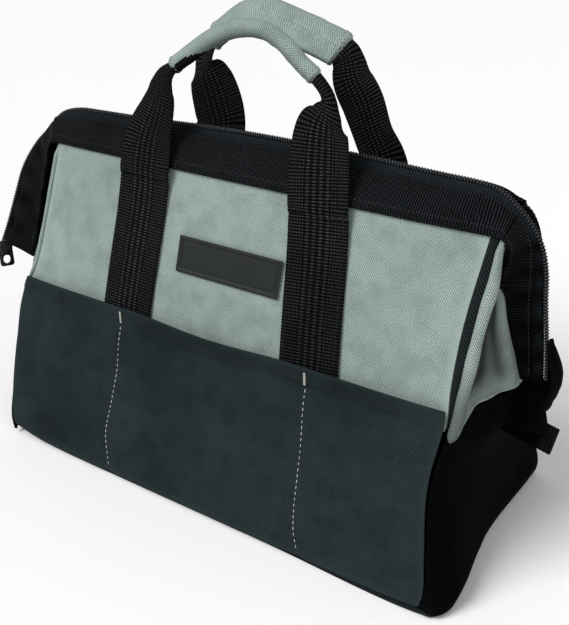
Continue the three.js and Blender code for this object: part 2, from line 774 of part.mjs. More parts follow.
// Handles: sections of each strap loop above the panels, left to right. x is a share of
// half the span, up of the rise over the band foot, out of the grip's distance from the
// middle. turn is the strap's width direction in degrees from the right, tip is its slant
// out of the loop. wide and thick are shares of the strap, full its roundness. grip marks
// the rows inside the cloth sleeve.
const frontLoop = [
  { x: -0.975, up: 0.195, out: 1.4, turn: 0, tip: 0, wide: 0.94, thick: 1, full: 0, grip: 0 },
  { x: -0.9, up: 0.393, out: 1.12, turn: 8, tip: 0, wide: 0.67, thick: 1.5, full: 0.3, grip: 0 },
  { x: -0.874, up: 0.468, out: 1.03, turn: 14, tip: 0, wide: 0.56, thick: 2, full: 0.4, grip: 0 },
  { x: -0.852, up: 0.544, out: 1, turn: 24, tip: 0, wide: 0.44, thick: 2.4, full: 0.5, grip: 0 },
  { x: -0.8, up: 0.625, out: 1, turn: 40, tip: 0, wide: 0.3, thick: 2.7, full: 0.6, grip: 0 },
  { x: -0.706, up: 0.69, out: 1, turn: 55, tip: 0, wide: 0.19, thick: 2.6, full: 0.6, grip: 1 },
  { x: -0.534, up: 0.778, out: 1, turn: 60, tip: 0, wide: 0.19, thick: 2.6, full: 0.6, grip: 1 },
  { x: -0.205, up: 0.93, out: 1, turn: 68, tip: 0, wide: 0.19, thick: 2.6, full: 0.6, grip: 1 },
  { x: 0.095, up: 1, out: 1, turn: 85, tip: 0, wide: 0.19, thick: 2.6, full: 0.6, grip: 1 },
  { x: 0.315, up: 0.993, out: 1, turn: 105, tip: 0, wide: 0.19, thick: 2.6, full: 0.6, grip: 1 },
  { x: 0.493, up: 0.928, out: 1, turn: 120, tip: 0, wide: 0.19, thick: 2.6, full: 0.6, grip: 1 },
  { x: 0.654, up: 0.824, out: 1, turn: 130, tip: 0, wide: 0.19, thick: 2.6, full: 0.6, grip: 1 },
  { x: 0.79, up: 0.75, out: 1, turn: 130, tip: 0, wide: 0.2, thick: 2.6, full: 0.6, grip: 1 },
  { x: 0.875, up: 0.682, out: 1, turn: 140, tip: 0, wide: 0.2, thick: 3.2, full: 0.6, grip: 0 },
  { x: 0.908, up: 0.625, out: 1.02, turn: 155, tip: 0, wide: 0.3, thick: 3, full: 0.5, grip: 0 },
  { x: 0.893, up: 0.557, out: 1.05, turn: 165, tip: 0, wide: 0.6, thick: 2, full: 0.3, grip: 0 },
  { x: 0.853, up: 0.447, out: 1.12, turn: 174, tip: 0, wide: 0.86, thick: 1.4, full: 0.1, grip: 0 },
  { x: 0.864, up: 0.239, out: 1.36, turn: 180, tip: 0, wide: 0.98, thick: 1, full: 0, grip: 0 },
];
const backLoop = [
  { x: -0.739, up: 0.159, out: 0.78, turn: 0, tip: 0, wide: 0.94, thick: 1, full: 0, grip: 0 },
  { x: -0.811, up: 0.314, out: 0.85, turn: 0, tip: 0, wide: 1, thick: 1, full: 0, grip: 0 },
  { x: -0.929, up: 0.504, out: 0.92, turn: 8, tip: 8, wide: 0.94, thick: 1.1, full: 0, grip: 0 },
  { x: -0.985, up: 0.63, out: 0.95, turn: 35, tip: 25, wide: 0.6, thick: 1.5, full: 0.1, grip: 0 },
  { x: -0.88, up: 0.76, out: 0.98, turn: 55, tip: 40, wide: 0.44, thick: 1.8, full: 0.5, grip: 1 },
  { x: -0.76, up: 0.835, out: 1, turn: 58, tip: 45, wide: 0.44, thick: 1.8, full: 0.5, grip: 1 },
  { x: -0.588, up: 0.923, out: 1.02, turn: 65, tip: 45, wide: 0.44, thick: 1.8, full: 0.5, grip: 1 },
  { x: -0.412, up: 0.964, out: 1.02, turn: 82, tip: 45, wide: 0.44, thick: 1.8, full: 0.5, grip: 1 },
  { x: -0.247, up: 0.964, out: 1.02, turn: 95, tip: 45, wide: 0.44, thick: 1.8, full: 0.5, grip: 1 },
  { x: 0.075, up: 0.898, out: 1.01, turn: 105, tip: 45, wide: 0.44, thick: 1.8, full: 0.5, grip: 1 },
  { x: 0.329, up: 0.838, out: 1, turn: 108, tip: 42, wide: 0.44, thick: 1.8, full: 0.5, grip: 1 },
  { x: 0.53, up: 0.785, out: 0.99, turn: 115, tip: 35, wide: 0.44, thick: 1.8, full: 0.5, grip: 1 },
  { x: 0.6, up: 0.72, out: 0.97, turn: 140, tip: 20, wide: 0.5, thick: 1.6, full: 0.1, grip: 0 },
  { x: 0.652, up: 0.604, out: 0.94, turn: 165, tip: 5, wide: 0.66, thick: 1.2, full: 0, grip: 0 },
  { x: 0.773, up: 0.468, out: 0.9, turn: 176, tip: -8, wide: 0.8, thick: 1, full: 0, grip: 0 },
  { x: 0.9, up: 0.288, out: 0.83, turn: 180, tip: -14, wide: 0.82, thick: 1, full: 0, grip: 0 },
  { x: 1.01, up: 0.15, out: 0.77, turn: 180, tip: -14, wide: 0.94, thick: 1, full: 0, grip: 0 },
];
const strapHeights = [0, 0.2, 0.45, 0.7, 0.9, 0.94, 1]; // shares from the tuck to the band foot
const overBand = 2 * gap + bandWall + seamGap;

// Sections of a strap where it lies on its panel, from the tuck up.
function laidRows(side, footX, topX, turn) {
  const foot = pocketHeight - strapTuck;
  return strapHeights.map((share) => {
    const z = mix(foot, bandFoot + gap, share);
    const x = handleHalfSpan * mix(footX, topX, share);
    const raised = ease(0.86, 0.94, share);
    const out = mix(gap, overBand, raised) + strapWall * (0.5 + 0.6 * ease(0.95, 1, share));
    const middle = onPanel(side, x, z, out);
    return { middle, turn, tip: 0, wide: 1, thick: 1, full: 0, grip: 0 };
  });
}

function handlePath(side, loop, away, feet) {
  const up = laidRows(side, feet.leftFoot, feet.leftTop, 0);
  const down = laidRows(side, feet.rightFoot, feet.rightTop, 180).reverse();
  const over = loop.map((row) => ({
    ...row,
    middle: vector(row.x * handleHalfSpan, side * row.out * away, bandFoot + row.up * handleRise),
  }));
  const rows = [...up, ...over, ...down];
  const last = rows.length - 1;
  const path = new THREE.CatmullRomCurve3(rows.map((row) => row.middle));
  const angles = new THREE.CatmullRomCurve3(rows.map((row) => vector(row.turn, row.tip, 0)));
  const sizes = new THREE.CatmullRomCurve3(rows.map((row) => vector(row.wide, row.thick, row.full)));
  for (const curve of [path, angles, sizes]) curve.curveType = 'catmullrom';
  const gripRows = rows.map((row, i) => (row.grip ? i : -1)).filter((i) => i >= 0);
  return {
    at: (t) => sectionAt(path, angles, sizes, side, t),
    steps: last,
    gripFrom: gripRows[0] / last,
    gripTo: gripRows[gripRows.length - 1] / last,
  };
}

// Middle, width direction and face direction of a strap at t.
function sectionAt(path, angles, sizes, side, t) {
  const middle = path.getPoint(t);
  const way = path.getTangent(t);
  const turn = THREE.MathUtils.degToRad(angles.getPoint(t).x);
  const tip = THREE.MathUtils.degToRad(angles.getPoint(t).y);
  const across = vector(
    Math.cos(turn) * Math.cos(tip),
    -Math.sin(tip),
    -Math.sin(turn) * Math.cos(tip),
  );
  across.addScaledVector(way, -across.dot(way)).normalize();
  const face = across.clone().cross(way).normalize();
  const size = sizes.getPoint(t);
  return {
    middle,
    across,
    face,
    halfWidth: (size.x * strapWidth) / 2,
    halfDepth: (size.y * strapWall) / 2,
    full: size.z,
  };
}

function strapLoop(handle) {
  return sheet(2, Math.round(handle.steps * 1.5), (u, v, w) => {
    const { middle, across, face, halfWidth, halfDepth: half, full } = handle.at(v);
    const side = 2 * u - 1;
    const thick = half * (1 - full * side * side) * (2 * w - 1);
    return middle.clone().addScaledVector(across, side * halfWidth).addScaledVector(face, thick);
  });
}

// Sleeve: a ring round the strap inside it.
function sleeve(handle, room) {
  const ring = new THREE.Shape();
  ring.absarc(0, 0, 1, 0, Math.PI * 2);
  const hole = new THREE.Path();
  hole.absarc(0, 0, 0.5, 0, Math.PI * 2, true);
  ring.holes.push(hole);
  const tube = new THREE.ExtrudeGeometry(ring, {
    depth: 1,
    steps: 11,
    bevelEnabled: false,
    curveSegments: 5,
  });
  return bend(tube, (a, b, along) => {
    const { middle, across, face, halfWidth, halfDepth: half } = handle.at(
      mix(handle.gripFrom, handle.gripTo, along),
    );
    const radius = Math.hypot(a, b);
    const wall = radius > 0.75 ? sleeveWall : 0;
    const wide = (a / radius) * (halfWidth * 1.06 + room + wall);
    const deep = (b / radius) * (half * 1.15 + room + wall);
    return middle.clone().addScaledVector(across, wide).addScaledVector(face, deep);
  });
}

const frontHandle = handlePath(front, frontLoop, frontReach, {
  leftFoot: -1.02,
  leftTop: -0.98,
  rightFoot: 1.06,
  rightTop: 0.905,
});
const backHandle = handlePath(back, backLoop, backReach, {
  leftFoot: -1,
  leftTop: -0.82,
  rightFoot: 1.035,
  rightTop: 1.035,
});
add('front_handle', strapLoop(frontHandle), webbing);
add('back_handle', strapLoop(backHandle), webbing);
add('front_grip', sleeve(frontHandle, 1), greyCloth);
add('back_grip', sleeve(backHandle, 1.1), greyCloth);

// Patch on the front

add(
  'label_patch',
  sheet(4, 2, (u, v, w) => {
    const x = patchX + (u - 0.5) * patchWidth;
    const z = patchZ + (v - 0.5) * patchHeight;
    return onPanel(front, x, z, gap + w * patchWall);
  }),
  patchRubber,
);

export default bag;
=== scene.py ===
# Zipped tool bag with two webbing handles, standing on its base.
# The tables and surfaces are in millimetres, and the finished meshes in metres.

from functools import partial
from math import copysign, cos, exp, hypot, pi, radians, sin, sqrt

import bmesh
import bpy
from mathutils import Matrix, Vector, noise


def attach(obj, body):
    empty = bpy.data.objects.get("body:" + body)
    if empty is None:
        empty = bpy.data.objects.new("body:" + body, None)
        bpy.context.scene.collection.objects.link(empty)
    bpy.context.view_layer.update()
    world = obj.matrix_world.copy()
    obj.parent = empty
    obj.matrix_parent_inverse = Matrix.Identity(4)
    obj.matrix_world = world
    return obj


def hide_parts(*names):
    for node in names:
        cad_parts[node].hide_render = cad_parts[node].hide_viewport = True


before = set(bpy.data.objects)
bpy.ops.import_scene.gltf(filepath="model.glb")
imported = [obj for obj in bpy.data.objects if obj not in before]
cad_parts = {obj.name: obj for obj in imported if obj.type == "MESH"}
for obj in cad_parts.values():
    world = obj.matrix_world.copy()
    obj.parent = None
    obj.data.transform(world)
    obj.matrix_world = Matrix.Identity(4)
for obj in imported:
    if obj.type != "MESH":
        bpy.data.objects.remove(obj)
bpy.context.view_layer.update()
print("frame loaded")

front, back = -1, 1
left, right = -1, 1
faces = ((front, "front"), (back, "back"))
hands = ((left, "left"), (right, "right"))
metre = 0.001  # one millimetre of the tables
xWay, yWay, zWay = Vector((1, 0, 0)), Vector((0, 1, 0)), Vector((0, 0, 1))

# Camera

camera = {
    "place": (0.434318, -0.570113, 0.485542), "yaw": -0.62535, "pitch": 0.45653, "roll": -0.02,
    "lens": 57.03,
}


def addObject(name, data):
    holder = bpy.data.objects.new(name, data)
    bpy.context.collection.objects.link(holder)
    return holder


def makeCamera(values):
    seen = bpy.data.cameras.new("bagCamera")
    seen.lens, seen.sensor_width, seen.clip_start = values["lens"], 36, 0.01
    holder = addObject("bagCamera", seen)
    turned = (
        Matrix.Rotation(-values["yaw"], 4, "Z") @ Matrix.Rotation(pi / 2 - values["pitch"], 4, "X")
        @ Matrix.Rotation(values["roll"], 4, "Z")
    )
    holder.matrix_world = Matrix.Translation(values["place"]) @ turned
    bpy.context.scene.camera = holder


makeCamera(camera)
print("camera placed")

# Shape of the bag

bag = {
    "length": 406, "depth": 202,
    "bandFoot": 251,  # floor to the lower edge of the mouth band
    "mouthDepth": 57, "zipHeight": 280, "pocketHeight": 141, "endHeight": 136,
    "swell": 3,  # how far the front and back stand out at half height
    "cornerRound": 4,
    "leftLift": 5,  # how far the bottom corners rise
    "rightLift": 1.5, "endBulge": 15,
    "endDip": 20,  # how far the top of a black end drops at its seams
    "gap": 0.3, "seamGap": 0.9,
}
halfLength = bag["length"] / 2
halfDepth = bag["depth"] / 2
halfMouth = bag["mouthDepth"] / 2
bandFoot = bag["bandFoot"]
gap = bag["gap"]
seamGap = bag["seamGap"]
lean = (halfDepth - halfMouth) / bandFoot
slope = hypot(1, lean)

wall = {
    "base": 3, "panel": 2, "pocket": 1.8, "hem": 2.8, "end": 2, "gusset": 1.8, "band": 2.2,
    "tape": 1, "strap": 2, "sleeve": 1.4, "strip": 1.4,
}

# Left and right edges of the front and back up their height, as shares of half the length
sides = [
    (0, -0.985, 0.99),
    (0.06, -1.028, 1.005),
    (0.15, -1.04, 0.99),
    (0.34, -1.044, 0.957),
    (0.52, -1.012, 0.975),
    (0.62, -0.966, 0.965),
    (0.78, -0.938, 0.966),
    (1, -0.916, 0.992),
]

# Bulge of a black end up its height, at its seams, front, middle and back
rightEnd = [
    (0, 0.72, 1.05, 0.1, 0),
    (0.1, 0.6, 1.05, 0.15, 0.05),
    (0.3, 0.1, 0.65, 0.25, 0.1),
    (0.6, 0, 0.4, 0.55, 0.2),
    (0.85, 0, 0.25, 1.05, 0.3),
    (1, 0, 0.1, 1.2, 0.1),
]
leftEnd = [
    (0, 0.1, 0.3, 0.35, 0.3),
    (0.1, 0.1, 0.45, 0.5, 0.45),
    (0.3, 0, 0.4, 0.5, 0.45),
    (0.6, 0, 0.25, 0.4, 0.35),
    (0.85, 0, 0.15, 0.2, 0.2),
    (1, 0, 0.1, 0.05, 0.05),
]


def mix(a, b, share):
    return a + (b - a) * share


def clamp(value, low, high):
    return min(max(value, low), high)


def ease(low, high, value):
    share = clamp((value - low) / (high - low), 0, 1)
    return share * share * (3 - 2 * share)


def bump(value, middle, width):
    return exp(-(((value - middle) / width) ** 2))


def lookUp(table, column, at):
    # smooth value of a column, by the first one
    last = len(table) - 1
    i = 0
    while i < last - 1 and at > table[i + 1][0]:
        i += 1

    def slopeAt(k):
        a, b = table[max(k - 1, 0)], table[min(k + 1, last)]
        return (b[column] - a[column]) / (b[0] - a[0])

    a, b = table[i], table[i + 1]
    span = b[0] - a[0]
    t = clamp((at - a[0]) / span, 0, 1)
    rise, fall = slopeAt(i) * span, slopeAt(i + 1) * span
    h = t * t * (3 - 2 * t)
    return mix(a[column], b[column], h) + rise * t * (1 - t) ** 2 - fall * t * t * (1 - t)


def onCurve(points, t):
    # smooth curve through points that are spaced evenly in t
    place = t * (len(points) - 1)
    i = clamp(int(place), 0, len(points) - 2)
    w = place - i
    a, b = points[i], points[i + 1]
    before = points[i - 1] if i > 0 else 2 * a - b
    after = points[i + 2] if i + 2 < len(points) else 2 * b - a
    start, end = (b - before) / 2, (after - a) / 2
    curved = 3 * (b - a) - 2 * start - end
    return a + start * w + curved * w * w + (2 * (a - b) + start + end) * w**3


def wayOf(points, t):
    step = 1e-4
    return (onCurve(points, min(t + step, 1)) - onCurve(points, max(t - step, 0))).normalized()


def edgeX(end, z):
    return halfLength * lookUp(sides, 1 if end == left else 2, z / bandFoot)


def reach(x, z):
    squarer = mix(0.15, 1, z / bandFoot)
    fall = bag["cornerRound"] * squarer * min(abs(x / halfLength), 1.05) ** 8
    return halfDepth - lean * z + bag["swell"] * sin(pi * z / bandFoot) - fall


def onPanel(side, x, z, out):
    # a point outside the front or back by out
    return Vector((x, side * (reach(x, z) + out / slope), z + out * lean / slope))


def lift(u, v):
    return bag["leftLift" if u < 0 else "rightLift"] * abs(u * v) ** 9


def wallFoot(x):
    drop = wall["panel"] * lean
    return wall["base"] + gap + drop + 1.1 * lift(clamp(x / halfLength, -1, 1), 1)


def bulgeAt(end, across, up):
    rows = leftEnd if end == left else rightEnd
    places = [(-1, 0)]
    places += [(at, lookUp(rows, i + 1, up)) for i, at in enumerate((-0.966, -0.78, 0, 0.78))]
    places += [(1, 0)]
    return bag["endBulge"] * max(lookUp(places, 1, across), 0)


def rumple(x, z, size, seed):
    # soft unevenness of cloth, from about -1 to 1
    wide = noise.noise(Vector((x / size, z / size, seed)))
    fine = noise.noise(Vector((2.3 * x / size, 1.9 * z / size, seed + 7)))
    return 1.4 * wide + 0.5 * fine


# Making pieces


def placeGrid(columns, rows, place, flat):
    # a grid with place(u, v) in millimetres, metric UVs and how near each point is to an edge
    cloth = bmesh.new()
    uvs = cloth.loops.layers.uv.new("cloth")
    worn = cloth.verts.layers.float.new("edge")
    # an empty layer of painted shade, which shadeFolds fills in
    cloth.verts.layers.float.new("shade")
    bmesh.ops.create_grid(cloth, x_segments=columns, y_segments=rows, size=0.5)
    share = {vert: (vert.co.x + 0.5, vert.co.y + 0.5) for vert in cloth.verts}
    for face in cloth.faces:
        for loop in face.loops:
            u, v = share[loop.vert]
            loop[uvs].uv = (u * flat[0] * metre, v * flat[1] * metre)
    for vert in cloth.verts:
        u, v = share[vert]
        nearest = min(u * flat[0], (1 - u) * flat[0], v * flat[1], (1 - v) * flat[1])
        vert[worn] = max(0, 1 - nearest / 6)
        vert.co = place(u, v) * metre
    return cloth


def faceOutward(cloth, middle):
    cloth.normal_update()
    turned = sum(f.normal.dot(f.calc_center_median() - middle) * f.calc_area() for f in cloth.faces)
    if turned < 0:
        bmesh.ops.reverse_faces(cloth, faces=cloth.faces[:])


def intoMesh(name, shape):
    data = bpy.data.meshes.new(name)
    shape.to_mesh(data)
    shape.free()
    return data


def makePiece(name, shape, finish, hides=(), body="root"):
    data = intoMesh(name, shape)
    for face in data.polygons:
        face.use_smooth = True
    data.materials.append(finishes[finish]["material"])
    piece = addObject(name, data)
    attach(piece, body)
    if hides:
        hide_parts(*hides)
    return piece


def roundEdges(piece, width, degrees):
    soft = piece.modifiers.new("soft edge", "BEVEL")
    soft.width = width * metre
    soft.segments = 2
    soft.limit_method = "ANGLE"
    soft.angle_limit = radians(degrees)
    soft.harden_normals = True


def clothSheet(name, grid, place, flat, thickness, finish, hides=(), middle=(0, 0, 0.12)):
    # one sheet of cloth; place gives its outer face
    cloth = placeGrid(*grid, place, flat)
    faceOutward(cloth, Vector(middle))
    piece = makePiece(name, cloth, finish, hides)
    thick = piece.modifiers.new("thickness", "SOLIDIFY")
    thick.thickness = thickness * metre
    thick.offset = -1
    thick.use_even_offset = True
    roundEdges(piece, 0.3 * thickness, 60)
    return piece


def clothTube(name, grid, place, flat, finish, hides=()):
    # a closed tube; place(around, along) gives its skin
    tube = placeGrid(*grid, place, flat)
    worn = tube.verts.layers.float["edge"]
    for vert in tube.verts:
        vert[worn] = 0
    bmesh.ops.remove_doubles(tube, verts=tube.verts[:], dist=1e-6)
    ends = [edge for edge in tube.edges if edge.is_boundary]
    bmesh.ops.holes_fill(tube, edges=ends, sides=0)
    bmesh.ops.recalc_face_normals(tube, faces=tube.faces[:])
    return makePiece(name, tube, finish, hides)


def grain(spot, along, across, halfSizes):
    # where one small rounded grain lies: halfSizes along, across and out
    along = along.normalized()
    out = along.cross(across).normalized()
    across = out.cross(along).normalized()
    turned = Matrix((along * halfSizes[0], across * halfSizes[1], out * halfSizes[2])).transposed()
    return Matrix.Translation(spot * metre) @ (turned * metre).to_4x4()


def makeGrains(name, grains, finish, segments=(6, 4), hides=()):
    # stitches or zip teeth as one piece, joined from small batches
    whole = bmesh.new()
    batch = 24
    for first in range(0, len(grains), batch):
        some = bmesh.new()
        for place in grains[first : first + batch]:
            bmesh.ops.create_uvsphere(
                some, u_segments=segments[0], v_segments=segments[1], radius=1, matrix=place
            )
        data = intoMesh("batch", some)
        whole.from_mesh(data)
        bpy.data.meshes.remove(data)
    return makePiece(name, whole, finish, hides)


def shadeFolds(piece, flat, shadeAt):
    # painted shade: how dark the cloth is painted in its folds and other shaded places, by shares
    # of its width and height and its normal
    mesh = piece.data
    shade = mesh.attributes["shade"].data
    corners = mesh.uv_layers["cloth"].data
    for loop in mesh.loops:
        u, v = (at / (length * metre) for at, length in zip(corners[loop.index].uv, flat))
        i = loop.vertex_index
        shade[i].value = shadeAt(u, v, mesh.vertices[i].normal)


def spaceWeave(piece, axis, flat, runAtShare):
    # spaces the weave by the real distance along a piece, which its grid doesn't have
    for corner in piece.data.uv_layers["cloth"].data:
        share = clamp(corner.uv[axis] / (flat * metre), 0, 1)
        corner.uv[axis] = runAtShare(share) * metre


def runOf(points):
    # distance of each point along a line
    run = [0]
    for a, b in zip(points, points[1:]):
        run.append(run[-1] + (b - a).length)
    return run


def runAt(run, share):
    # distance along a line of evenly spaced points
    place = share * (len(run) - 1)
    i = clamp(int(place), 0, len(run) - 2)
    return mix(run[i], run[i + 1], place - i)


def atRun(points, run, distance):
    i = 0
    while i < len(run) - 2 and run[i + 1] < distance:
        i += 1
    share = clamp((distance - run[i]) / max(run[i + 1] - run[i], 1e-9), 0, 1)
    return mix(points[i], points[i + 1], share), (points[i + 1] - points[i]).normalized()


# distance between stitches, then their length and half thickness
stitches = {
    "seam": (4.6, 3.4, 0.42), "hem": (3.6, 2.6, 0.34), "bandFoot": (3.4, 2.4, 0.3),
    "bandTop": (3.0, 2.4, 0.3), "gripEnd": (2.9, 2.1, 0.3), "gripSeam": (3.2, 2.3, 0.3),
    "strap": (3.8, 2.6, 0.32), "patch": (2.6, 1.8, 0.3),
}


def sewStitches(points, across, kind):
    # a row of stitches along points; across is the sideways direction of the cloth
    pitch, length, thread = stitches[kind]
    run = runOf(points)
    row = []
    for i in range(int(run[-1] / pitch)):
        spot, along = atRun(points, run, (i + 0.5) * pitch)
        row.append(grain(spot, along, across, (length / 2, thread, thread)))
    return row


print("shape ready")

# Finishes

# Light and dark are the painted highlight on the crests of the threads and the painted shade in
# the hollows between them; worn is the colour of rubbed edges. Above 1, crest leaves only the tops
# of the threads in the light.
plainThread = {"turn": 0, "gloss": 0.03, "sheen": 0}
threads = {
    "greyCloth": {
        "slot": "grey_cloth", "weave": "plain", "pitch": (2, 2), "crest": 1,
        "uneven": 0.35, "relief": 0.8, "rough": 0.86, "gloss": 0.15, "sheen": 0.05,
        "light": (0.47, 0.575, 0.53), "dark": (0.055, 0.075, 0.068), "worn": (0.4, 0.485, 0.448),
    },
    "greyHerringbone": {
        "slot": "grey_cloth", "weave": "herringbone", "pitch": (5, 1.7), "crest": 1,
        "uneven": 0.3, "relief": 0.5, "rough": 0.84, "gloss": 0.2, "sheen": 0.05,
        "light": (0.46, 0.55, 0.51), "dark": (0.03, 0.042, 0.038), "worn": (0.4, 0.48, 0.44),
    },
    "pocketCloth": {
        "slot": "pocket_cloth", "weave": "plain", "pitch": (2, 2), "crest": 1.4,
        "uneven": 0.7, "relief": 0.7, "rough": 0.8,
        "light": (0.043, 0.062, 0.067), "dark": (0.0006, 0.0018, 0.0026),
        "worn": (0.03, 0.04, 0.043),
    },
    "blackCloth": {
        "slot": "black_cloth", "weave": "plain", "pitch": (2, 2), "crest": 1.5,
        "uneven": 0.8, "relief": 0.4, "rough": 0.85, "gloss": 0.02,
        "light": (0.003, 0.0034, 0.004), "dark": (0.0003, 0.0003, 0.0004),
        "worn": (0.005, 0.0055, 0.006),
    },
    "webbing": {
        "slot": "webbing", "weave": "rib", "pitch": (1.9, 2.3), "crest": 5,
        "uneven": 1, "relief": 0.7, "rough": 0.62,
        "light": (0.085, 0.088, 0.1), "dark": (0.0002, 0.0002, 0.0004),
        "worn": (0.004, 0.004, 0.005),
    },
    "bandWebbing": {
        "slot": "webbing", "weave": "rib", "pitch": (1.9, 1.9), "turn": 90, "crest": 5,
        "uneven": 1, "relief": 0.7, "rough": 0.62,
        "light": (0.068, 0.078, 0.089), "dark": (0.0002, 0.0003, 0.0005),
        "worn": (0.004, 0.0045, 0.006),
    },
    "zipTwill": {
        "slot": "zip_cloth", "weave": "twill", "pitch": (2.4, 2.4), "crest": 1.4,
        "uneven": 0.6, "relief": 0.4, "rough": 0.8,
        "light": (0.022, 0.029, 0.034), "dark": (0.001, 0.0014, 0.002),
        "worn": (0.016, 0.019, 0.021),
    },
    "darkTwill": {
        "slot": "black_cloth", "weave": "twill", "pitch": (2.2, 2.2), "crest": 1.8,
        "uneven": 0.6, "relief": 0.5, "rough": 0.85,
        "light": (0.03, 0.04, 0.042), "dark": (0.0005, 0.0008, 0.001), "worn": (0.015, 0.019, 0.02),
    },
}

# rubber, coated metal, coil and thread: slot, colour and darker colour, then roughness, metal,
# grain and relief
moulded = {
    "mouldedPatch": (
        "patch_rubber", (0.008, 0.011, 0.012), (0.003, 0.0045, 0.005), 0.6, 0, 900, 0.25
    ),
    "blackMetal": (
        "black_metal", (0.012, 0.012, 0.014), (0.004, 0.004, 0.005), 0.34, 0.5, 1400, 0.1
    ),
    "coilNylon": ("zip_cloth", (0.07, 0.072, 0.078), (0.012, 0.012, 0.014), 0.35, 0, 1500, 0.2),
    "darkThread": ("black_cloth", (0.02, 0.024, 0.026), (0.006, 0.007, 0.008), 0.6, 0, 2500, 0.5),
    "paleThread": ("webbing", (0.55, 0.54, 0.47), (0.3, 0.3, 0.26), 0.65, 0, 2500, 0.5),
    "greyThread": ("grey_cloth", (0.2, 0.25, 0.22), (0.1, 0.13, 0.12), 0.65, 0, 2500, 0.5),
}
clouds = {"fibres": (900, 2), "slubs": (60, 4), "broad": (9, 2)}  # scale and detail of the noise


def wire(tree, step, inputs):
    for place, value in inputs.items():
        if isinstance(value, bpy.types.NodeSocket):
            tree.links.new(value, step.inputs[place])
        else:
            step.inputs[place].default_value = value


def addStep(tree, kind, inputs, **settings):
    step = tree.nodes.new("ShaderNode" + kind)
    for name, value in settings.items():
        setattr(step, name, value)
    wire(tree, step, inputs)
    return step


def sumStep(tree, operation, a, b=0, clamped=False):
    step = addStep(tree, "Math", {0: a, 1: b}, operation=operation, use_clamp=clamped)
    return step.outputs[0]


def blend(tree, share, *colors):
    a, b = (c if isinstance(c, bpy.types.NodeSocket) else (*c, 1) for c in colors)
    return addStep(tree, "Mix", {0: share, 6: a, 7: b}, data_type="RGBA").outputs[2]


def cloudy(tree, places, scale, detail):
    inputs = {"Vector": places, "Scale": scale, "Detail": detail}
    return addStep(tree, "TexNoise", inputs).outputs["Fac"]


def sumsOf(tree):
    calc = partial(sumStep, tree)
    return calc, partial(calc, "MULTIPLY"), partial(calc, "ADD")


def weaveHeight(tree, values, u, v):
    # height of the threads from 0 to 1; u and v are metres along the cloth
    calc, times, plus = sumsOf(tree)
    wave = partial(calc, "SINE")

    def halfUp(turns):
        return plus(times(turns, 0.5), 0.5)

    perMetre = [2 * pi / (pitch * metre) for pitch in values["pitch"]]
    turnsU, turnsV = times(u, perMetre[0]), times(v, perMetre[1])
    waveU = wave(turnsU)
    if values["weave"] == "plain":
        return halfUp(times(waveU, wave(turnsV)))
    if values["weave"] == "twill":
        return halfUp(wave(plus(turnsU, turnsV)))
    if values["weave"] == "herringbone":
        folded = calc("PINGPONG", u, values["pitch"][0] * metre)
        slanted = times(folded, perMetre[1])
        return halfUp(wave(plus(turnsV, slanted)))
    ribs = calc("ABSOLUTE", wave(times(turnsV, 0.5)))
    return times(ribs, plus(times(halfUp(waveU), 0.4), 0.6))


def newMaterial(name):
    material = bpy.data.materials.new(name)
    material.use_nodes = True
    return material, material.node_tree, material.node_tree.nodes["Principled BSDF"]


def clothFinish(name, values):
    material, tree, shader = newMaterial(name)
    calc, times, plus = sumsOf(tree)
    dark = values["dark"]
    places = addStep(tree, "UVMap", {}, uv_map="cloth").outputs[0]
    turn = (0, 0, radians(values["turn"]))
    turned = addStep(tree, "Mapping", {"Vector": places, "Rotation": turn}).outputs[0]
    parts = addStep(tree, "SeparateXYZ", {0: turned}).outputs
    height = weaveHeight(tree, values, parts[0], parts[1])
    solid = addStep(tree, "TexCoord", {}).outputs["Object"]
    fibres = cloudy(tree, turned, *clouds["fibres"])
    slubs, broad = (cloudy(tree, solid, *clouds[kind]) for kind in ("slubs", "broad"))
    # edge is how near an edge a point lies, for wear; folds is the layer of painted shade
    layers = [addStep(tree, "Attribute", {}, attribute_name=layer) for layer in ("edge", "shade")]
    edge, folds = (layer.outputs["Fac"] for layer in layers)
    # thread by thread painted highlight and shade, slow changes over the cloth, wear near its edges
    # and painted shade in the folds
    share = plus(times(height, 0.75), times(fibres, 0.5))
    share = calc("POWER", calc("SUBTRACT", share, 0.12, True), values["crest"])
    woven = blend(tree, share, dark, values["light"])
    patchy = times(calc("SUBTRACT", slubs, 0.42, True), 0.9)
    woven = blend(tree, patchy, woven, tuple(c * 0.8 for c in dark))
    shaded = times(calc("SUBTRACT", 0.56, broad, True), 2.2, True)
    woven = blend(tree, times(shaded, values["uneven"]), woven, dark)
    rubbed = times(edge, times(slubs, 0.7))
    woven = blend(tree, rubbed, woven, values["worn"])
    thready = plus(height, times(fibres, 0.4))
    relief = {"Strength": values["relief"], "Distance": 0.0006, "Height": thready}
    # the folds layer lays painted shade over the colour, towards a near black
    inputs = {
        "Base Color": blend(tree, folds, woven, tuple(c * 0.3 for c in dark)),
        "Roughness": calc("SUBTRACT", values["rough"] + 0.06, times(height, 0.12)),
        "Sheen Weight": values["sheen"], "Specular IOR Level": values["gloss"],
        "Normal": addStep(tree, "Bump", relief).outputs[0],
    }
    wire(tree, shader, inputs)
    return {"material": material, "slot": values["slot"]}


def mouldedFinish(name, slotName, base, darker, rough, metallic, grain, relief):
    material, tree, shader = newMaterial(name)
    calc, times, plus = sumsOf(tree)
    solid = addStep(tree, "TexCoord", {}).outputs["Object"]
    fine, broad = cloudy(tree, solid, grain, 3), cloudy(tree, solid, grain / 12, 2)
    share = plus(times(fine, 0.6), times(broad, 0.4))
    bumpy = {"Strength": relief, "Distance": 0.0003, "Height": fine}
    inputs = {
        "Base Color": blend(tree, share, darker, base),
        "Roughness": plus(times(fine, 0.25), rough - 0.12), "Metallic": metallic,
        "Specular IOR Level": 0.25, "Normal": addStep(tree, "Bump", bumpy).outputs[0],
    }
    wire(tree, shader, inputs)
    return {"material": material, "slot": slotName}


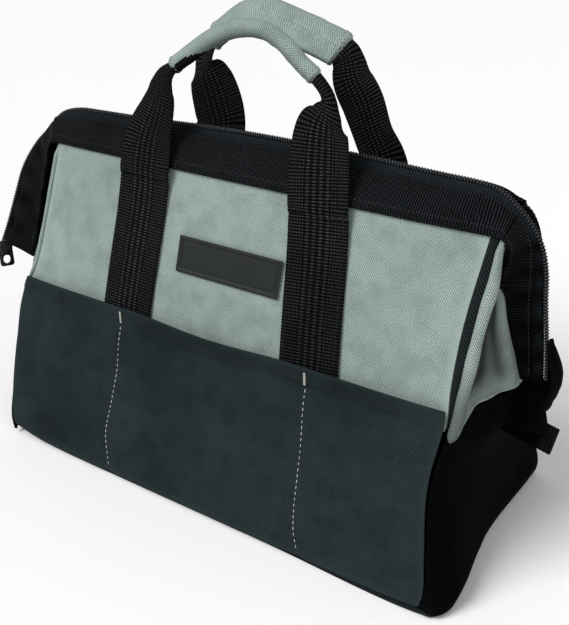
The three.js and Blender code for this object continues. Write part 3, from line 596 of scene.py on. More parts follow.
finishes = {name: clothFinish(name, plainThread | values) for name, values in threads.items()}
finishes |= {name: mouldedFinish(name, *values) for name, values in moulded.items()}
print("finishes ready")

# Base

basePanel = {"grid": (60, 40), "piping": 1.7, "pipingHeight": 1.9}


def rimY(x, z, across):
    return reach(x, z) + mix(-wall["panel"], wall["pocket"], ease(0.3, 1, across))


def basePoint(across, along, z):
    end = left if across < 0 else right
    bulge = bulgeAt(end, along, 0) * across**6
    x = abs(across) * edgeX(end, z) + end * bulge
    y = min(abs(along) * 1.02, 1) * rimY(x, z, across)
    return Vector((x, copysign(y, along), z))


def underBase(u, v):
    across, along = 2 * u - 1, 2 * v - 1
    return basePoint(across, along, lift(across, along))


clothSheet(
    "baseCloth", basePanel["grid"], underBase, (412, 202), wall["base"], "blackCloth",
    ["base_panel"], (0, 0, 0.1),
)


def pipedRim(around, along):
    # binding round the foot of the walls
    turn = 2 * pi * along
    across = clamp(1.42 * cos(turn), -1, 1)
    deep = clamp(1.42 * sin(turn), -1, 1)
    spot = basePoint(across, deep, lift(across, deep) + basePanel["pipingHeight"])
    out = Vector((spot.x / halfLength, spot.y / halfDepth, 0)).normalized()
    skin = 2 * pi * around
    spot += out * (cos(skin) * basePanel["piping"] - 0.8)
    return spot + zWay * sin(skin) * basePanel["piping"]


pipingFlat = (2 * pi * basePanel["piping"], 1220)
clothTube("basePiping", (10, 240), pipedRim, pipingFlat, "darkTwill")
print("base made")

# Front and back of grey cloth

pocketHeight = bag["pocketHeight"]
panel = {"grid": (120, 76), "rumple": 0.9, "rumpleSize": 75}
panelTop = bandFoot + 5 - gap


def panelPoint(side, u, v):
    z = mix(wallFoot(mix(-halfLength, halfLength, u)), panelTop, v)
    x = mix(edgeX(left, z), edgeX(right, z), u)
    x *= mix(0.982, 1, ease(pocketHeight - 18, pocketHeight - 12, z))
    calm = sin(pi * clamp(u, 0, 1)) ** 0.5 * sin(pi * v) ** 0.5
    soft = panel["rumple"] * calm * rumple(x, z, panel["rumpleSize"], 3 * side)
    return onPanel(side, x, z, -abs(soft))


for side, name in faces:
    sewn = clothSheet(
        name + "Cloth", panel["grid"], partial(panelPoint, side), (400, 258), wall["panel"],
        "greyCloth", [name + "_panel"],
    )
print("front and back made")

# Pockets

pocket = {
    "grid": (150, 58),
    "hem": 10,  # folded edge
    "seamSpread": 90,  # bag middle to each dividing seam
    "puff": 2.6, "rumple": 1.3, "rumpleSize": 55,
}
handleHalfSpan = 85


def pocketOut(x, z):
    behindStrap = (wall["strap"] + gap) * ease(0.6 * pocketHeight, 0.84 * pocketHeight, z)
    fromSeam = abs(x) - pocket["seamSpread"]
    bay = pocket["seamSpread"] if fromSeam < 0 else (halfLength - pocket["seamSpread"]) / 2
    middle = 0 if fromSeam < 0 else pocket["seamSpread"] + bay
    bow = cos(clamp((abs(x) - middle) / bay, -1, 1) * pi / 2)
    belly = sin(pi * min(z, pocketHeight) / pocketHeight)
    fade = 1 - ease(0.6 * pocketHeight, 0.9 * pocketHeight, z)
    return 1.6 * gap + behindStrap + pocket["puff"] * bow * belly * fade


def hemTop(x):
    sag = cos(clamp(x / handleHalfSpan, -1, 1) * pi / 2)
    return pocketHeight - 3 * sag * sag


# where the dividing seams run, x at a height, on the front seen in the photo
leftSeam = [(0, -87), (9, -90), (35, -96), (65, -92), (99, -90), (143, -88)]
rightSeam = [(0, 103), (6, 102), (23, 96), (76, 93), (129, 90), (141, 90)]


def hemFold(x, z):
    # extra thickness of the folded hem, with its sewn groove
    foot = hemTop(x) - pocket["hem"]
    fold = (wall["hem"] - wall["pocket"]) * ease(foot - 0.9, foot + 0.4, z)
    return fold - 0.45 * bump(z, foot + 1.8, 0.9)


def pocketSkin(side, x, z):
    # outer face of a pocket, out from the panel
    out = pocketOut(x, z) + wall["pocket"] + hemFold(x, z)
    below = 1 - ease(pocketHeight - 14, pocketHeight - 8, z)
    for table in (leftSeam, rightSeam):
        pulled = abs(x - lookUp(table, 1, z))
        out -= below * (0.9 * bump(pulled, 0, 1.6) + 0.7 * bump(pulled, 0, 9))
    calm = ease(0, 14, z) * below * ease(0, 14, halfLength - abs(x))
    out += pocket["rumple"] * calm * rumple(x, z, pocket["rumpleSize"], 11 * side)
    # pulls that run slanting down from the seams
    slant = sin((x * 0.6 + z) / 17) * bump(abs(x), 110, 35) * bump(z, 40, 30)
    return out + 0.45 * slant * calm


def pocketPoint(side, u, v):
    span = mix(-halfLength, halfLength, u)
    top = hemTop(span)
    foot = wallFoot(span)
    share = v / 0.78
    z = mix(foot, top - 14, share) if share < 1 else top - 14 * (1 - v) / 0.22
    x = mix(edgeX(left, z), edgeX(right, z), u)
    return onPanel(side, x, z, pocketSkin(side, x, z))


for side, name in faces:
    sewn = clothSheet(
        name + "PocketCloth", pocket["grid"], partial(pocketPoint, side), (412, 140),
        wall["pocket"], "pocketCloth", [name + "_pocket"],
    )


def seamLine(side, table, low, high, count=40):
    points = []
    for i in range(count + 1):
        z = mix(low, high, i / count)
        x = lookUp(table, 1, z)
        points.append(onPanel(side, x, z, pocketSkin(side, x, z) + 0.25))
    return points


def barTack(spot, across, up, size):
    # a dense sewn bar
    spots = [spot + up * (i / 7 - 0.5) * size for i in range(8)]
    return [grain(place, across, up, (1.3, 0.55, 0.4)) for place in spots]


for side, name in faces:
    sewing = []
    for table in (leftSeam, rightSeam):
        line = seamLine(side, table, 8, pocketHeight - 13)
        sewing += sewStitches(line, xWay, "seam")
        x, z = lookUp(table, 1, pocketHeight - 6), pocketHeight - 7.5
        tack = onPanel(side, x, z, pocketSkin(side, x, z) + 0.3)
        sewing += barTack(tack, xWay, zWay, 9)
    makeGrains(name + "SeamStitches", sewing, "paleThread")
    hem = []
    for i in range(161):
        span = mix(-halfLength + 4, halfLength - 4, i / 160)
        z = hemTop(span) - pocket["hem"] + 1.8
        x = abs(span / halfLength) * edgeX(right if span > 0 else left, z)
        hem.append(onPanel(side, x, z, pocketSkin(side, x, z) + 0.2))
    sewing = sewStitches(hem, zWay, "hem")
    makeGrains(name + "HemStitches", sewing, "darkThread")
print("pockets made")

# Black ends

endCloth = {"grid": (64, 56), "rumple": 1.2, "rumpleSize": 42}
endHeight = bag["endHeight"]


def endX(end, across, z):
    return edgeX(end, z) + end * (seamGap + bulgeAt(end, across, z / endHeight) + wall["end"])


def endPoint(end, u, v):
    across = sin((u - 0.5) * pi)
    foot = wall["base"] + gap + lift(1, across)
    top = endHeight - bag["endDip"] * abs(across) ** 6
    z = mix(foot, top, v)
    deep = reach(edgeX(end, z), z) + wall["pocket"] * (1 - v)
    turn = ease(0.93, 1, abs(across))
    x = endX(end, across, z) - end * wall["end"] * turn
    y = min(abs(across) * 1.035, 1) * deep
    calm = (1 - turn) * ease(0, 0.12, v) * ease(0, 0.1, 1 - v)
    x += end * endCloth["rumple"] * calm * rumple(y, z, endCloth["rumpleSize"], 5 * end)
    return Vector((x, copysign(y, across), z))


for end, name in hands:
    sewn = clothSheet(
        name + "EndCloth", endCloth["grid"], partial(endPoint, end), (205, 136), wall["end"],
        "blackCloth", [name + "_end_panel"], middle=(0, 0, 0.07),
    )
print("ends made")

# Mouth: webbing band, zip tape and coil, from the foot of the left ear over the top and
# down to the foot of the right ear. zipX and edgeX are shares of half the length, zipZ and
# edgeZ of the zip's height, middle of half the depth, apart of half the mouth's depth.

levelMouth = ((-0.8, 0.985), (-0.53, 0.99), (-0.2, 1), (0.13, 1.003), (0.45, 0.998), (0.72, 0.991))
mouth = [
    (-1.167, 0.581, -1.0, 0.55, -0.535, 0.12, 0),
    (-1.152, 0.654, -0.985, 0.629, -0.45, 0.2, 0),
    (-1.142, 0.732, -0.972, 0.707, -0.36, 0.32, 0),
    (-1.136, 0.804, -0.963, 0.779, -0.265, 0.47, 0),
    (-1.113, 0.867, -0.956, 0.843, -0.15, 0.68, 0),
    (-1.08, 0.912, -0.951, 0.882, -0.07, 0.87, 0.4),
    (-1.042, 0.945, -0.945, 0.905, -0.02, 0.98, 0.9),
    (-0.985, 0.969, -0.93, 0.9125, -0.005, 1, 1),
    (-0.9, 0.982, -0.89, 0.9143, 0, 1, 1),
    *((x, z, x, 0.9143, 0, 1, 1) for x, z in levelMouth),
    (0.88, 0.988, 0.89, 0.9143, 0, 1, 1),
    (0.95, 0.981, 0.97, 0.913, 0, 1, 1),
    (1.005, 0.958, 1.02, 0.909, 0, 0.99, 0.95),
    (1.052, 0.928, 1.045, 0.897, 0, 0.96, 0.6),
    (1.092, 0.894, 1.052, 0.875, 0, 0.82, 0.1),
    (1.122, 0.852, 1.045, 0.845, 0, 0.66, 0),
    (1.14, 0.793, 1.025, 0.79, 0, 0.54, 0),
    (1.147, 0.729, 1.015, 0.724, 0, 0.44, 0),
    (1.16, 0.65, 1.033, 0.643, 0, 0.3, 0),
    (1.17, 0.579, 1.06, 0.571, 0, 0.2, 0),
    (1.176, 0.525, 1.085, 0.514, 0, 0.14, 0),
]
band = {
    "grid": (300, 16), "wide": 42,
    "lap": 5,  # below the top of a panel
    "legLap": 0.3, "bow": 1.5, "pinch": 7, "start": 0.006,
    "folds": (6.35 / 25, 17.35 / 25),  # the two mitred corners
}
tape = {"grid": (260, 5), "wide": 13, "show": 10, "tuck": 5}
coil = {"radius": 2.2, "pitch": 2.25, "core": 1.25}
zipHeight = bag["zipHeight"]
lastMouth = len(mouth) - 1


def zipPoint(row):
    sideways = row[4] * halfDepth * (1.1 if row[1] < 0.9 else 0.6)
    return Vector((row[0] * halfLength, sideways, row[1] * zipHeight))


zipLine = [zipPoint(row) for row in mouth]
lapLine = [Vector((row[6], 0, 0)) for row in mouth]


def edgePoint(row, side):
    free = row[4] * halfDepth + side * row[5] * halfMouth
    pinch = band["pinch"] * ease(0.9, 1.03, row[2]) if side == back else 0
    x, z = row[2] * halfLength - pinch, row[3] * zipHeight
    laid = onPanel(side, x, z, seamGap).y
    return Vector((x, laid if row[6] == 1 else mix(free, laid, ease(0.5, 1, row[6])), z))


edgeLines = {side: [edgePoint(row, side) for row in mouth] for side in (front, back)}
seenFrames = {}


def mouthAt(t, side):
    # zip point, band edge, outward direction, width and lap direction
    if (t, side) in seenFrames:
        return seenFrames[t, side]
    rim, edge = onCurve(zipLine, t), onCurve(edgeLines[side], t)
    over = rim - edge
    outward = wayOf(zipLine, t).cross(over).normalized() * -side
    lap = clamp(onCurve(lapLine, t).x, 0, 1)
    down = Vector((0, side * lean, -1)).normalized()
    lapWay = mix(-over.normalized(), down, lap) * band["lap"] * mix(band["legLap"], 1, lap)
    seenFrames[t, side] = (rim, edge, outward, over.length, lapWay)
    return seenFrames[t, side]


def onMouth(frameAt, share, out):
    rim, edge, outward, width, lapWay = frameAt
    spot = mix(edge, rim + outward * (wall["tape"] + 2 * gap), max(share, 0))
    if share < 0:
        spot = spot - lapWay * share
    return spot + outward * out


def mitre(t, share):
    # the band folds over itself at both upper corners
    raised = 0
    for fold, way in zip(band["folds"], (1, -1)):
        away = way * (t - fold) * 760
        lifted = ease(-1.5, 1.5, away) - ease(2, 22, away)
        raised += 1.3 * lifted - 1.1 * bump(away, -3.2, 3)
    return raised * ease(-0.2, 0.15, share + 0.2)


bandPuckers = {"height": 0.7, "length": 37}


def bandPoint(side, u, v):
    t = mix(band["start"], 1, u)
    frameAt = mouthAt(t, side)
    top = 1 - tape["show"] / frameAt[3]
    share = -1 + v / 0.14 if v < 0.14 else mix(0, top, (v - 0.14) / 0.86)
    bow = band["bow"] * sin(pi * share) if share > 0 else 0
    inside = ease(0, 0.3, share) * ease(0, 0.25, top - share)
    soft = inside * bandPuckers["height"] * rumple(t * 900, share * 30, bandPuckers["length"], side)
    leg = 1 - clamp(onCurve(lapLine, t).x, 0, 1)
    sag = -2.2 * leg * inside * (0.5 + 0.5 * sin(t * 95))
    return onMouth(frameAt, share, bow + wall["band"] + soft + sag + mitre(t, share))


def tapePoint(side, u, v):
    frameAt = mouthAt(mix(band["start"], 1, u), side)
    low = 1 - (tape["show"] + tape["tuck"]) / frameAt[3]
    high = 1 - (coil["radius"] + gap) / frameAt[3]
    ripple = 0.25 * sin(u * 190) * v * (1 - v)
    return onMouth(frameAt, mix(low, high, v), ripple - gap)


def bandMiddle(t):
    return mix(onCurve(zipLine, t), onCurve(edgeLines[front], t), 0.4)


middleRun = runOf([bandMiddle(i / 200) for i in range(201)])
bandLength = middleRun[-1]


def bandRunAt(share):
    return runAt(middleRun, mix(band["start"], 1, share))


# painted shade on the ears of the band and the zip tape, in uneven patches
def earShade(u, v, normal):
    ear = ease(0.235, 0.16, u) + ease(0.74, 0.785, u)
    return ear * (0.62 + 0.3 * sin(u * 150) * sin(2 + v * 3))


webs = (
    ("mouthBand", "mouth_band_", band, bandPoint, wall["band"], "bandWebbing"),
    ("zipTape", "zip_tape_", tape, tapePoint, wall["tape"], "zipTwill"),
)
for side, name in faces:
    for title, node, values, place, thickness, finish in webs:
        flat = (bandLength, values["wide"])
        sewn = clothSheet(
            title + name.title(), values["grid"], partial(place, side), flat, thickness, finish,
            [node + name], middle=(0, 0, 0.2),
        )
        shadeFolds(sewn, flat, earShade)
        spaceWeave(sewn, 0, bandLength, bandRunAt)
    sewing = []
    for share, kind in ((0.05, "bandFoot"), (0.93, "bandTop")):
        line = []
        for i in range(301):
            t = (mix(0.02, 0.985, i / 300) - band["start"]) / (1 - band["start"])
            line.append(bandPoint(side, t, 0.14 + 0.86 * share))
        sewing += sewStitches(line, mouthAt(0.5, side)[2].cross(xWay), kind)
    makeGrains("bandStitches" + name.title(), sewing, "darkThread")
print("mouth band made")


def acrossZip(way):
    deep = (yWay - way * way.y).normalized()
    return deep, deep.cross(way).normalized()


def coilCore(around, along):
    t = mix(band["start"], 1, along)
    deep, out = acrossZip(wayOf(zipLine, t))
    spot = onCurve(zipLine, t)
    skin = 2 * pi * around
    return spot + deep * cos(skin) * coil["core"] * 1.3 + out * sin(skin) * coil["core"]


clothTube("zipCord", (8, 220), coilCore, (9, bandLength), "zipTwill")
teeth = []
zipRun = [onCurve(zipLine, mix(band["start"], 1, i / 400)) for i in range(401)]
zipDistance = runOf(zipRun)
count = int(zipDistance[-1] / coil["pitch"])
for i in range(count):
    spot, way = atRun(zipRun, zipDistance, (i + 0.5) * coil["pitch"])
    deep, out = acrossZip(way)
    for hand in (-1, 1):
        # two slanting bars that meet in the middle of each turn of the coil
        slant = (deep * hand + way * 0.28).normalized()
        middle = spot + deep * hand * 1.05 + way * hand * coil["pitch"] * 0.25
        teeth.append(grain(middle, slant, way, (1.25, 0.62, 1.75)))
makeGrains("zipTeeth", teeth, "coilNylon", (8, 4), ["zip_coil"])
print("zip made,", count, "turns")

# Ridges along the side seams, the strips beside them and the folded gussets

ridge = {
    "width": 8.2, "depth": 8, "turnedWidth": 4.2, "turnedDepth": 4.4, "foot": 121,
    "top": bandFoot - 11.5, "tuck": 12, "stripWidth": 6,
    "drawnFrom": {front: 218, back: 205},  # height where it starts to narrow
    "drawnTo": 247, "drawnShift": {front: 2.2, back: 5.5},
}
seamRows = [(0, 0.05), (0.17, 0.45), (0.4, 0.9), (0.8, 1), (1, 1.15)]
seams = [
    {
        "name": face.title() + hand.title(), "node": face + "_" + hand, "side": side, "end": end,
        "turned": side == front and end == left,
    }
    for side, face in faces for end, hand in hands
]


def seamShift(z):
    share = (z - ridge["foot"]) / (ridge["top"] - ridge["foot"])
    return ridge["stripWidth"] * lookUp(seamRows, 1, share)


def drawnIn(seam, z):
    # a ridge narrows where it runs in under the band, on the back from lower down
    return ease(ridge["drawnFrom"][seam["side"]], ridge["drawnTo"], z)


def ridgeWidth(seam, z):
    return ridge["turnedWidth"] if seam["turned"] else ridge["width"] * (1 - 0.4 * drawnIn(seam, z))


def ridgeShift(seam, z):
    if seam["turned"]:
        return -seamGap - 0.5
    return seamShift(z) - ridge["drawnShift"][seam["side"]] * drawnIn(seam, z)


def ridgeAt(seam, z):
    out = seamGap + ridgeShift(seam, z) + ridgeWidth(seam, z) / 2
    x = edgeX(seam["end"], z) + seam["end"] * out
    return Vector((x, seam["side"] * reach(x, z), z))


def ridgePoint(seam, around, along):
    foot = endHeight + 6 * gap if seam["turned"] else ridge["foot"]
    thick = ridge["turnedDepth"] if seam["turned"] else ridge["depth"]
    least = 0.8 if seam["turned"] else 0.2
    z = mix(foot, ridge["top"] + ridge["tuck"], along)
    under = ease(ridge["top"] + 3, ridge["top"] + 9, z)  # flattened below the band
    end = max(sqrt(1 - (1 - min(along * 14, 1)) ** 2), least)
    skin = 2 * pi * around
    flat = 1 + 0.05 * sin(z / 6.5) + 0.05 * rumple(z, 0, 14, seam["side"] * 2)
    crease = 0.12 * bump(around, 0.62, 0.05)
    a = 0.5 * cos(skin) * (flat - crease)
    b = 0.5 * sin(skin) * (flat - crease)
    deep = b * thick * end * (1 - 0.7 * under) - seam["side"] * 1.8 * under
    return ridgeAt(seam, z) + Vector((a * ridgeWidth(seam, z) * end, deep, 0))


def stripPoint(seam, u, v):
    z = mix(pocketHeight - 12, ridge["top"] + ridge["tuck"], v)
    wide = max(ridgeShift(seam, z) + seamGap * 0.3, 1)
    x = edgeX(seam["end"], z) + seam["end"] * (seamGap * 0.3 + u * wide)
    raised = 0.9 * sin(pi * u)
    return onPanel(seam["side"], x, z, raised - gap)


for seam in seams:
    flat = (12 if seam["turned"] else 27, 120)
    finish = "greyCloth" if seam["turned"] else "greyHerringbone"
    sewn = clothTube(
        "ridge" + seam["name"], (24, 90), partial(ridgePoint, seam), flat, finish,
        ["ridge_" + seam["node"]],
    )
    if seam["turned"]:
        continue
    # painted shade, darker towards the ridge's foot
    shadeFolds(sewn, flat, lambda u, v, normal: 0.62 * ease(0.45, 0.1, v))
    clothSheet(
        "strip" + seam["name"], (8, 60), partial(stripPoint, seam), (6, 100), wall["strip"],
        "darkTwill", ["strip_" + seam["node"]],
    )

gusset = {
    "grid": (44, 56), "valley": 8, "crest": 4,
    "folds": [(0, 0), (0.3, -1), (0.6, -0.35), (0.82, 0.5), (1, 0)], "hem": {left: 4.2, right: 1.5},
    "flat": {left: (108, 104), right: (66, 104)},  # as cut
    "area": {left: 0.0084, right: 0.00425},  # square metres of the cut triangle
    "tail": 4, "roll": 1.5,
    "hidden": 11,  # how far its top runs in under the band
}


def gussetPoint(seam, fromMouth, toMouth, u, v):
    end, side = seam["end"], seam["side"]
    out = Vector((end * 0.96, side * 0.28, 0)).normalized()
    rise = v * 0.4 if v < 0.12 else mix(0.048, 1, (v - 0.12) / 0.88)
    frameAt = mouthAt(round(mix(fromMouth, toMouth, rise), 5), side)
    far = onMouth(frameAt, 0.1, -1.2)
    low = endHeight + gusset["hem"][end] - bag["endDip"] * (0.88 - 0.84 * u) ** 6
    z = mix(low, ridge["top"], rise)
    start = ridgeAt(seam, z)
    start.y -= side * (ridge["depth"] / 2 - 0.7)
    spot = mix(start, far, u)
    opened = (1 - rise) * ease(-0.25, 0.3, rise)
    fold = lookUp(gusset["folds"], 1, u)
    deep = gusset["valley"] * fold if fold < 0 else gusset["crest"] / 0.5 * fold
    crinkle = 0.8 * sin(u * 17 + 5 * rise) * sin(pi * u) * (1 - rise)
    roll = gusset["roll"] * sin(pi * clamp(v / 0.09, 0, 1))
    if end == left:
        hanging = 1 - ease(0, 0.1, v)
        spot.z = mix(spot.z, low, hanging)
        spot.y -= gusset["tail"] * u * hanging
    hidden = gusset["hidden"] * ease(0.55, 0.88, rise) * ease(0, 0.3, u)
    return spot + out * (deep * opened + wall["gusset"] + crinkle + roll - hidden)


def gussetShade(u, v, normal):
    # the valley beside the ridge and the pinched top lie in the dark
    valley = bump(u, 0.25, 0.28) * ease(0.05, 0.3, v)
    dip = 0.6 * bump(u, 0.72 - 0.3 * v, 0.1) * ease(0.1, 0.25, v)
    return clamp(1.25 * valley + dip + 0.3 * ease(0.45, 0.9, v), 0, 0.97)


leftTop = 5 / lastMouth
rightTop = (lastMouth - 5.3) / lastMouth
for seam in seams:
    if seam["turned"]:
        continue
    end = seam["end"]
    reachUp = (1, rightTop) if end == right else (0, leftTop)
    flat = gusset["flat"][end]
    sewn = clothSheet(
        "gusset" + seam["name"], gusset["grid"], partial(gussetPoint, seam, *reachUp), flat,
        wall["gusset"], "greyHerringbone", ["gusset_" + seam["node"]], middle=(0, 0, 0.19),
    )
    shadeFolds(sewn, flat, gussetShade)
print("side seams made")

# Slider and pull: the modelled metal with its edges rounded


def roundedCopy(name, node, body, width):
    shape = bmesh.new()
    shape.from_mesh(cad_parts[node].data)
    bmesh.ops.remove_doubles(shape, verts=shape.verts[:], dist=1e-6)
    roundEdges(makePiece(name, shape, "blackMetal", [node], body), width, 35)


roundedCopy("sliderMetal", "zip_slider", "root", 0.35)
roundedCopy("pullMetal", "zip_pull", "zip_pull", 0.3)
print("slider and pull made")

# Loose end of the zip and the webbing tab below it, at the right end

tailRows = [
    (0.45, 2.5), (0.468, 2.6), (0.5, 2.79), (0.53, 2.87), (0.56, 2.8), (0.597, 2.55), (0.637, 2.42)
]
tail = {"width": 16, "thickness": 3, "curl": 1.5}
tab = {
    "topX": 1.236, "topZ": 0.393, "lowX": 1.212, "lowZ": 0.314,
    "rise": 0.22, "thickness": 2.5, "y": 4,
}
flap = {"low": 102, "high": 172, "innerX": 238.6, "thickness": 1.6}


def tailPoint(u, v):
    z = zipHeight * mix(tailRows[0][0], tailRows[-1][0], v)
    out = tail["width"] * lookUp(tailRows, 1, z / zipHeight)
    across = 2 * u - 1
    x = halfLength + out - tail["curl"] * across**2 + 0.25 * sin(v * 40) * (1 - abs(across))
    narrower = 1 - 0.55 * ease(0.7, 1, v)
    return Vector((x - 1.2 * ease(0.8, 1, v), (u - 0.5) * tail["width"] * narrower, z))


def tabPoint(u, v):
    farX = halfLength * mix(tab["lowX"], tab["topX"], v)
    farZ = zipHeight * mix(tab["lowZ"], tab["topZ"], v)
    nearX = endX(right, tab["y"] / halfDepth, farZ + 6) + 4 * gap
    x = mix(nearX, farX, u)
    return Vector((x, tab["y"] - tab["thickness"] / 2, farZ + (farX - x) * tab["rise"]))


clothSheet(
    "zipTailCloth", (12, 40), tailPoint, (16, 58), tail["thickness"], "blackCloth", ["zip_tail"]
)
tabCloth = clothSheet(
    "zipTabWebbing", (24, 16), tabPoint, (30, 24), tab["thickness"], "webbing", ["zip_tab"],
    (0, 0.2, 0.1),
)
# painted shade over the tab, least at its far end
shadeFolds(tabCloth, (30, 24), lambda u, v, normal: 0.9 * ease(0.85, 0.6, u) + 0.3)


def flapPoint(u, v):
    # the black cloth that joins the zip's loose end to the bag
    z = mix(flap["low"], flap["high"], v)
    nearX = endX(right, 0.01, min(z, endHeight)) - 1 - 0.35 * max(z - endHeight, 0)
    nearX = mix(nearX, flap["innerX"], ease(140, 150, z))
    tailZ = clamp(z / zipHeight, tailRows[0][0], tailRows[-1][0])
    farX = halfLength + tail["width"] * lookUp(tailRows, 1, tailZ) - tail["thickness"] - 0.4
    x = mix(nearX, farX + 3.4 * ease(126, 108, z) if z < 126 else farX, u)
    return Vector((x, 1.2 * sin(u * 5 + z / 15) + 0.8, z + 3 * u * (1 - v)))


clothSheet(
    "zipEndFlap", (24, 30), flapPoint, (32, 50), flap["thickness"], "blackCloth", (), (0, 0.2, 0.12)
)
print("zip end made")

# Handles: sections of each strap loop above the panels, left to right. x is a share of half
# the span, up of the rise over the band foot, out of the grip's distance from the middle;
# then turn and tip in degrees, the shares wide, thick and full, and the sleeve. A row of five
# values has the section that the strap keeps inside its sleeve.

handle = {
    "strap": 50, "rise": 111, "tuck": 14, "grid": (28, 330),
    "pleats": 0.9,  # depth of the folds where a strap is gathered
}
frontLoop = [
    (-0.975, 0.195, 1.4, 0, 0, 0.94, 1, 0, 0),
    (-0.9, 0.393, 1.12, 8, 0, 0.67, 1.5, 0.3, 0),
    (-0.874, 0.468, 1.03, 14, 0, 0.56, 2, 0.4, 0),
    (-0.852, 0.544, 1, 24, 0, 0.44, 2.4, 0.5, 0),
    (-0.8, 0.625, 1, 40, 0, 0.3, 2.7, 0.6, 0),
    (-0.706, 0.69, 1, 55, 0),
    (-0.534, 0.778, 1, 60, 0),
    (-0.205, 0.93, 1, 68, 0),
    (0.095, 1, 1, 85, 0),
    (0.315, 0.993, 1, 105, 0),
    (0.493, 0.928, 1, 120, 0),
    (0.654, 0.824, 1, 130, 0),
    (0.79, 0.75, 1, 130, 0, 0.2, 2.6, 0.6, 1),
    (0.875, 0.682, 1, 140, 0, 0.2, 3.2, 0.6, 0),
    (0.908, 0.625, 1.02, 155, 0, 0.25, 3, 0.5, 0),
    (0.893, 0.557, 1.05, 165, 0, 0.48, 2.2, 0.3, 0),
    (0.853, 0.447, 1.12, 174, 0, 0.86, 1.4, 0.1, 0),
    (0.864, 0.239, 1.36, 180, 0, 0.98, 1, 0, 0),
]
backLoop = [
    (-0.739, 0.159, 0.78, 0, 0, 0.94, 1, 0, 0),
    (-0.811, 0.314, 0.85, 0, 0, 1, 1, 0, 0),
    (-0.929, 0.504, 0.92, 8, 8, 0.94, 1.1, 0, 0),
    (-0.985, 0.63, 0.95, 35, 25, 0.6, 1.5, 0.1, 0),
    (-0.88, 0.76, 0.98, 55, 40),
    (-0.76, 0.835, 1, 58, 45),
    (-0.588, 0.923, 1.02, 65, 45),
    (-0.412, 0.964, 1.02, 82, 45),
    (-0.247, 0.964, 1.02, 95, 45),
    (0.075, 0.898, 1.01, 105, 45),
    (0.329, 0.838, 1, 108, 42),
    (0.53, 0.785, 0.99, 115, 35),
    (0.6, 0.72, 0.97, 140, 20, 0.5, 1.6, 0.1, 0),
    (0.652, 0.604, 0.94, 165, 5, 0.66, 1.2, 0, 0),
    (0.773, 0.468, 0.9, 176, -8, 0.8, 1, 0, 0),
    (0.9, 0.288, 0.83, 180, -14, 0.82, 1, 0, 0),
    (1.01, 0.15, 0.77, 180, -14, 0.94, 1, 0, 0),
]
gripSections = {front: (0.19, 2.6, 0.6, 1), back: (0.44, 1.8, 0.5, 1)}
strapHeights = [0, 0.2, 0.45, 0.7, 0.9, 0.94, 1]  # shares from the tuck to the band foot
overBand = 2 * gap + wall["band"] + seamGap


def laidRows(side, footX, topX, turn):
    # a strap where it lies on its panel, from the tuck up
    rows = []
    for share in strapHeights:
        z = mix(pocketHeight - handle["tuck"], bandFoot + gap, share)
        x = handleHalfSpan * mix(footX, topX, share)
        raised = mix(gap, overBand, ease(0.86, 0.94, share))
        out = raised + wall["strap"] * (0.5 + 0.6 * ease(0.95, 1, share))
        rows.append((onPanel(side, x, z, out), turn, 0, 1, 1, 0, 0))
    return rows


def handlePath(side, loop, away, feet):
    over = []
    for row in loop:
        x, z = row[0] * handleHalfSpan, bandFoot + row[1] * handle["rise"]
        section = row[5:] or gripSections[side]
        over.append((Vector((x, side * row[2] * away, z)), *row[3:5], *section))
    down = laidRows(side, feet[2], feet[3], 180)[::-1]
    rows = laidRows(side, feet[0], feet[1], 0) + over + down
    gripped = [i for i, row in enumerate(rows) if row[6]]
    path = {
        "middles": [row[0] for row in rows],
        "angles": [Vector((row[1], row[2], 0)) for row in rows],
        "sizes": [Vector((row[3], row[4], row[5])) for row in rows],
        "grip": (gripped[0] / (len(rows) - 1), gripped[-1] / (len(rows) - 1)), "side": side,
    }
    fine = [onCurve(path["middles"], i / 400) for i in range(401)]
    path["run"] = runOf(fine)
    return path


def sectionAt(path, t):
    # middle, width direction, face direction, half width, half depth and roundness
    middle, way = onCurve(path["middles"], t), wayOf(path["middles"], t)
    angles, sizes = onCurve(path["angles"], t), onCurve(path["sizes"], t)
    turn, tip = radians(angles.x), radians(angles.y)
    level = cos(tip)
    across = Vector((cos(turn) * level, -sin(tip), -sin(turn) * level))
    across = (across - way * across.dot(way)).normalized()
    face = across.cross(way).normalized()
    halfWide, half = sizes.x * handle["strap"] / 2, sizes.y * wall["strap"] / 2
    return middle, across, face, halfWide, half, sizes.z


def roundRibbon(turn, squareness):
    # a point round a flat loop with soft edges
    c, s = cos(turn), sin(turn)
    return copysign(abs(c) ** squareness, c), copysign(abs(s) ** squareness, s)


def strapPoint(path, around, along):
    middle, across, face, halfWide, half, full = sectionAt(path, along)
    skin = 2 * pi * around
    wide, thick = roundRibbon(skin, 0.55)
    gathered = clamp((0.92 - 2 * halfWide / handle["strap"]) / 0.5, 0, 1)
    pleat = handle["pleats"] * gathered * sin(wide * 7.5)
    deep = half * (1 - full * wide * wide) * thick + pleat * (1 - abs(wide)) ** 0.5
    return middle + across * wide * halfWide + face * deep


sleeve = {
    "grid": (30, 120),
    "webbingAndShadeTo": -14,  # how far along the front roll its underside shows black webbing, partly painted shade
    "lip": 0.022,  # share of the length that turns in at each end
    "front": {"room": 0, "square": 1, "girth": 36},
    "back": {"room": 1.1, "square": 0.6, "girth": 62},
}


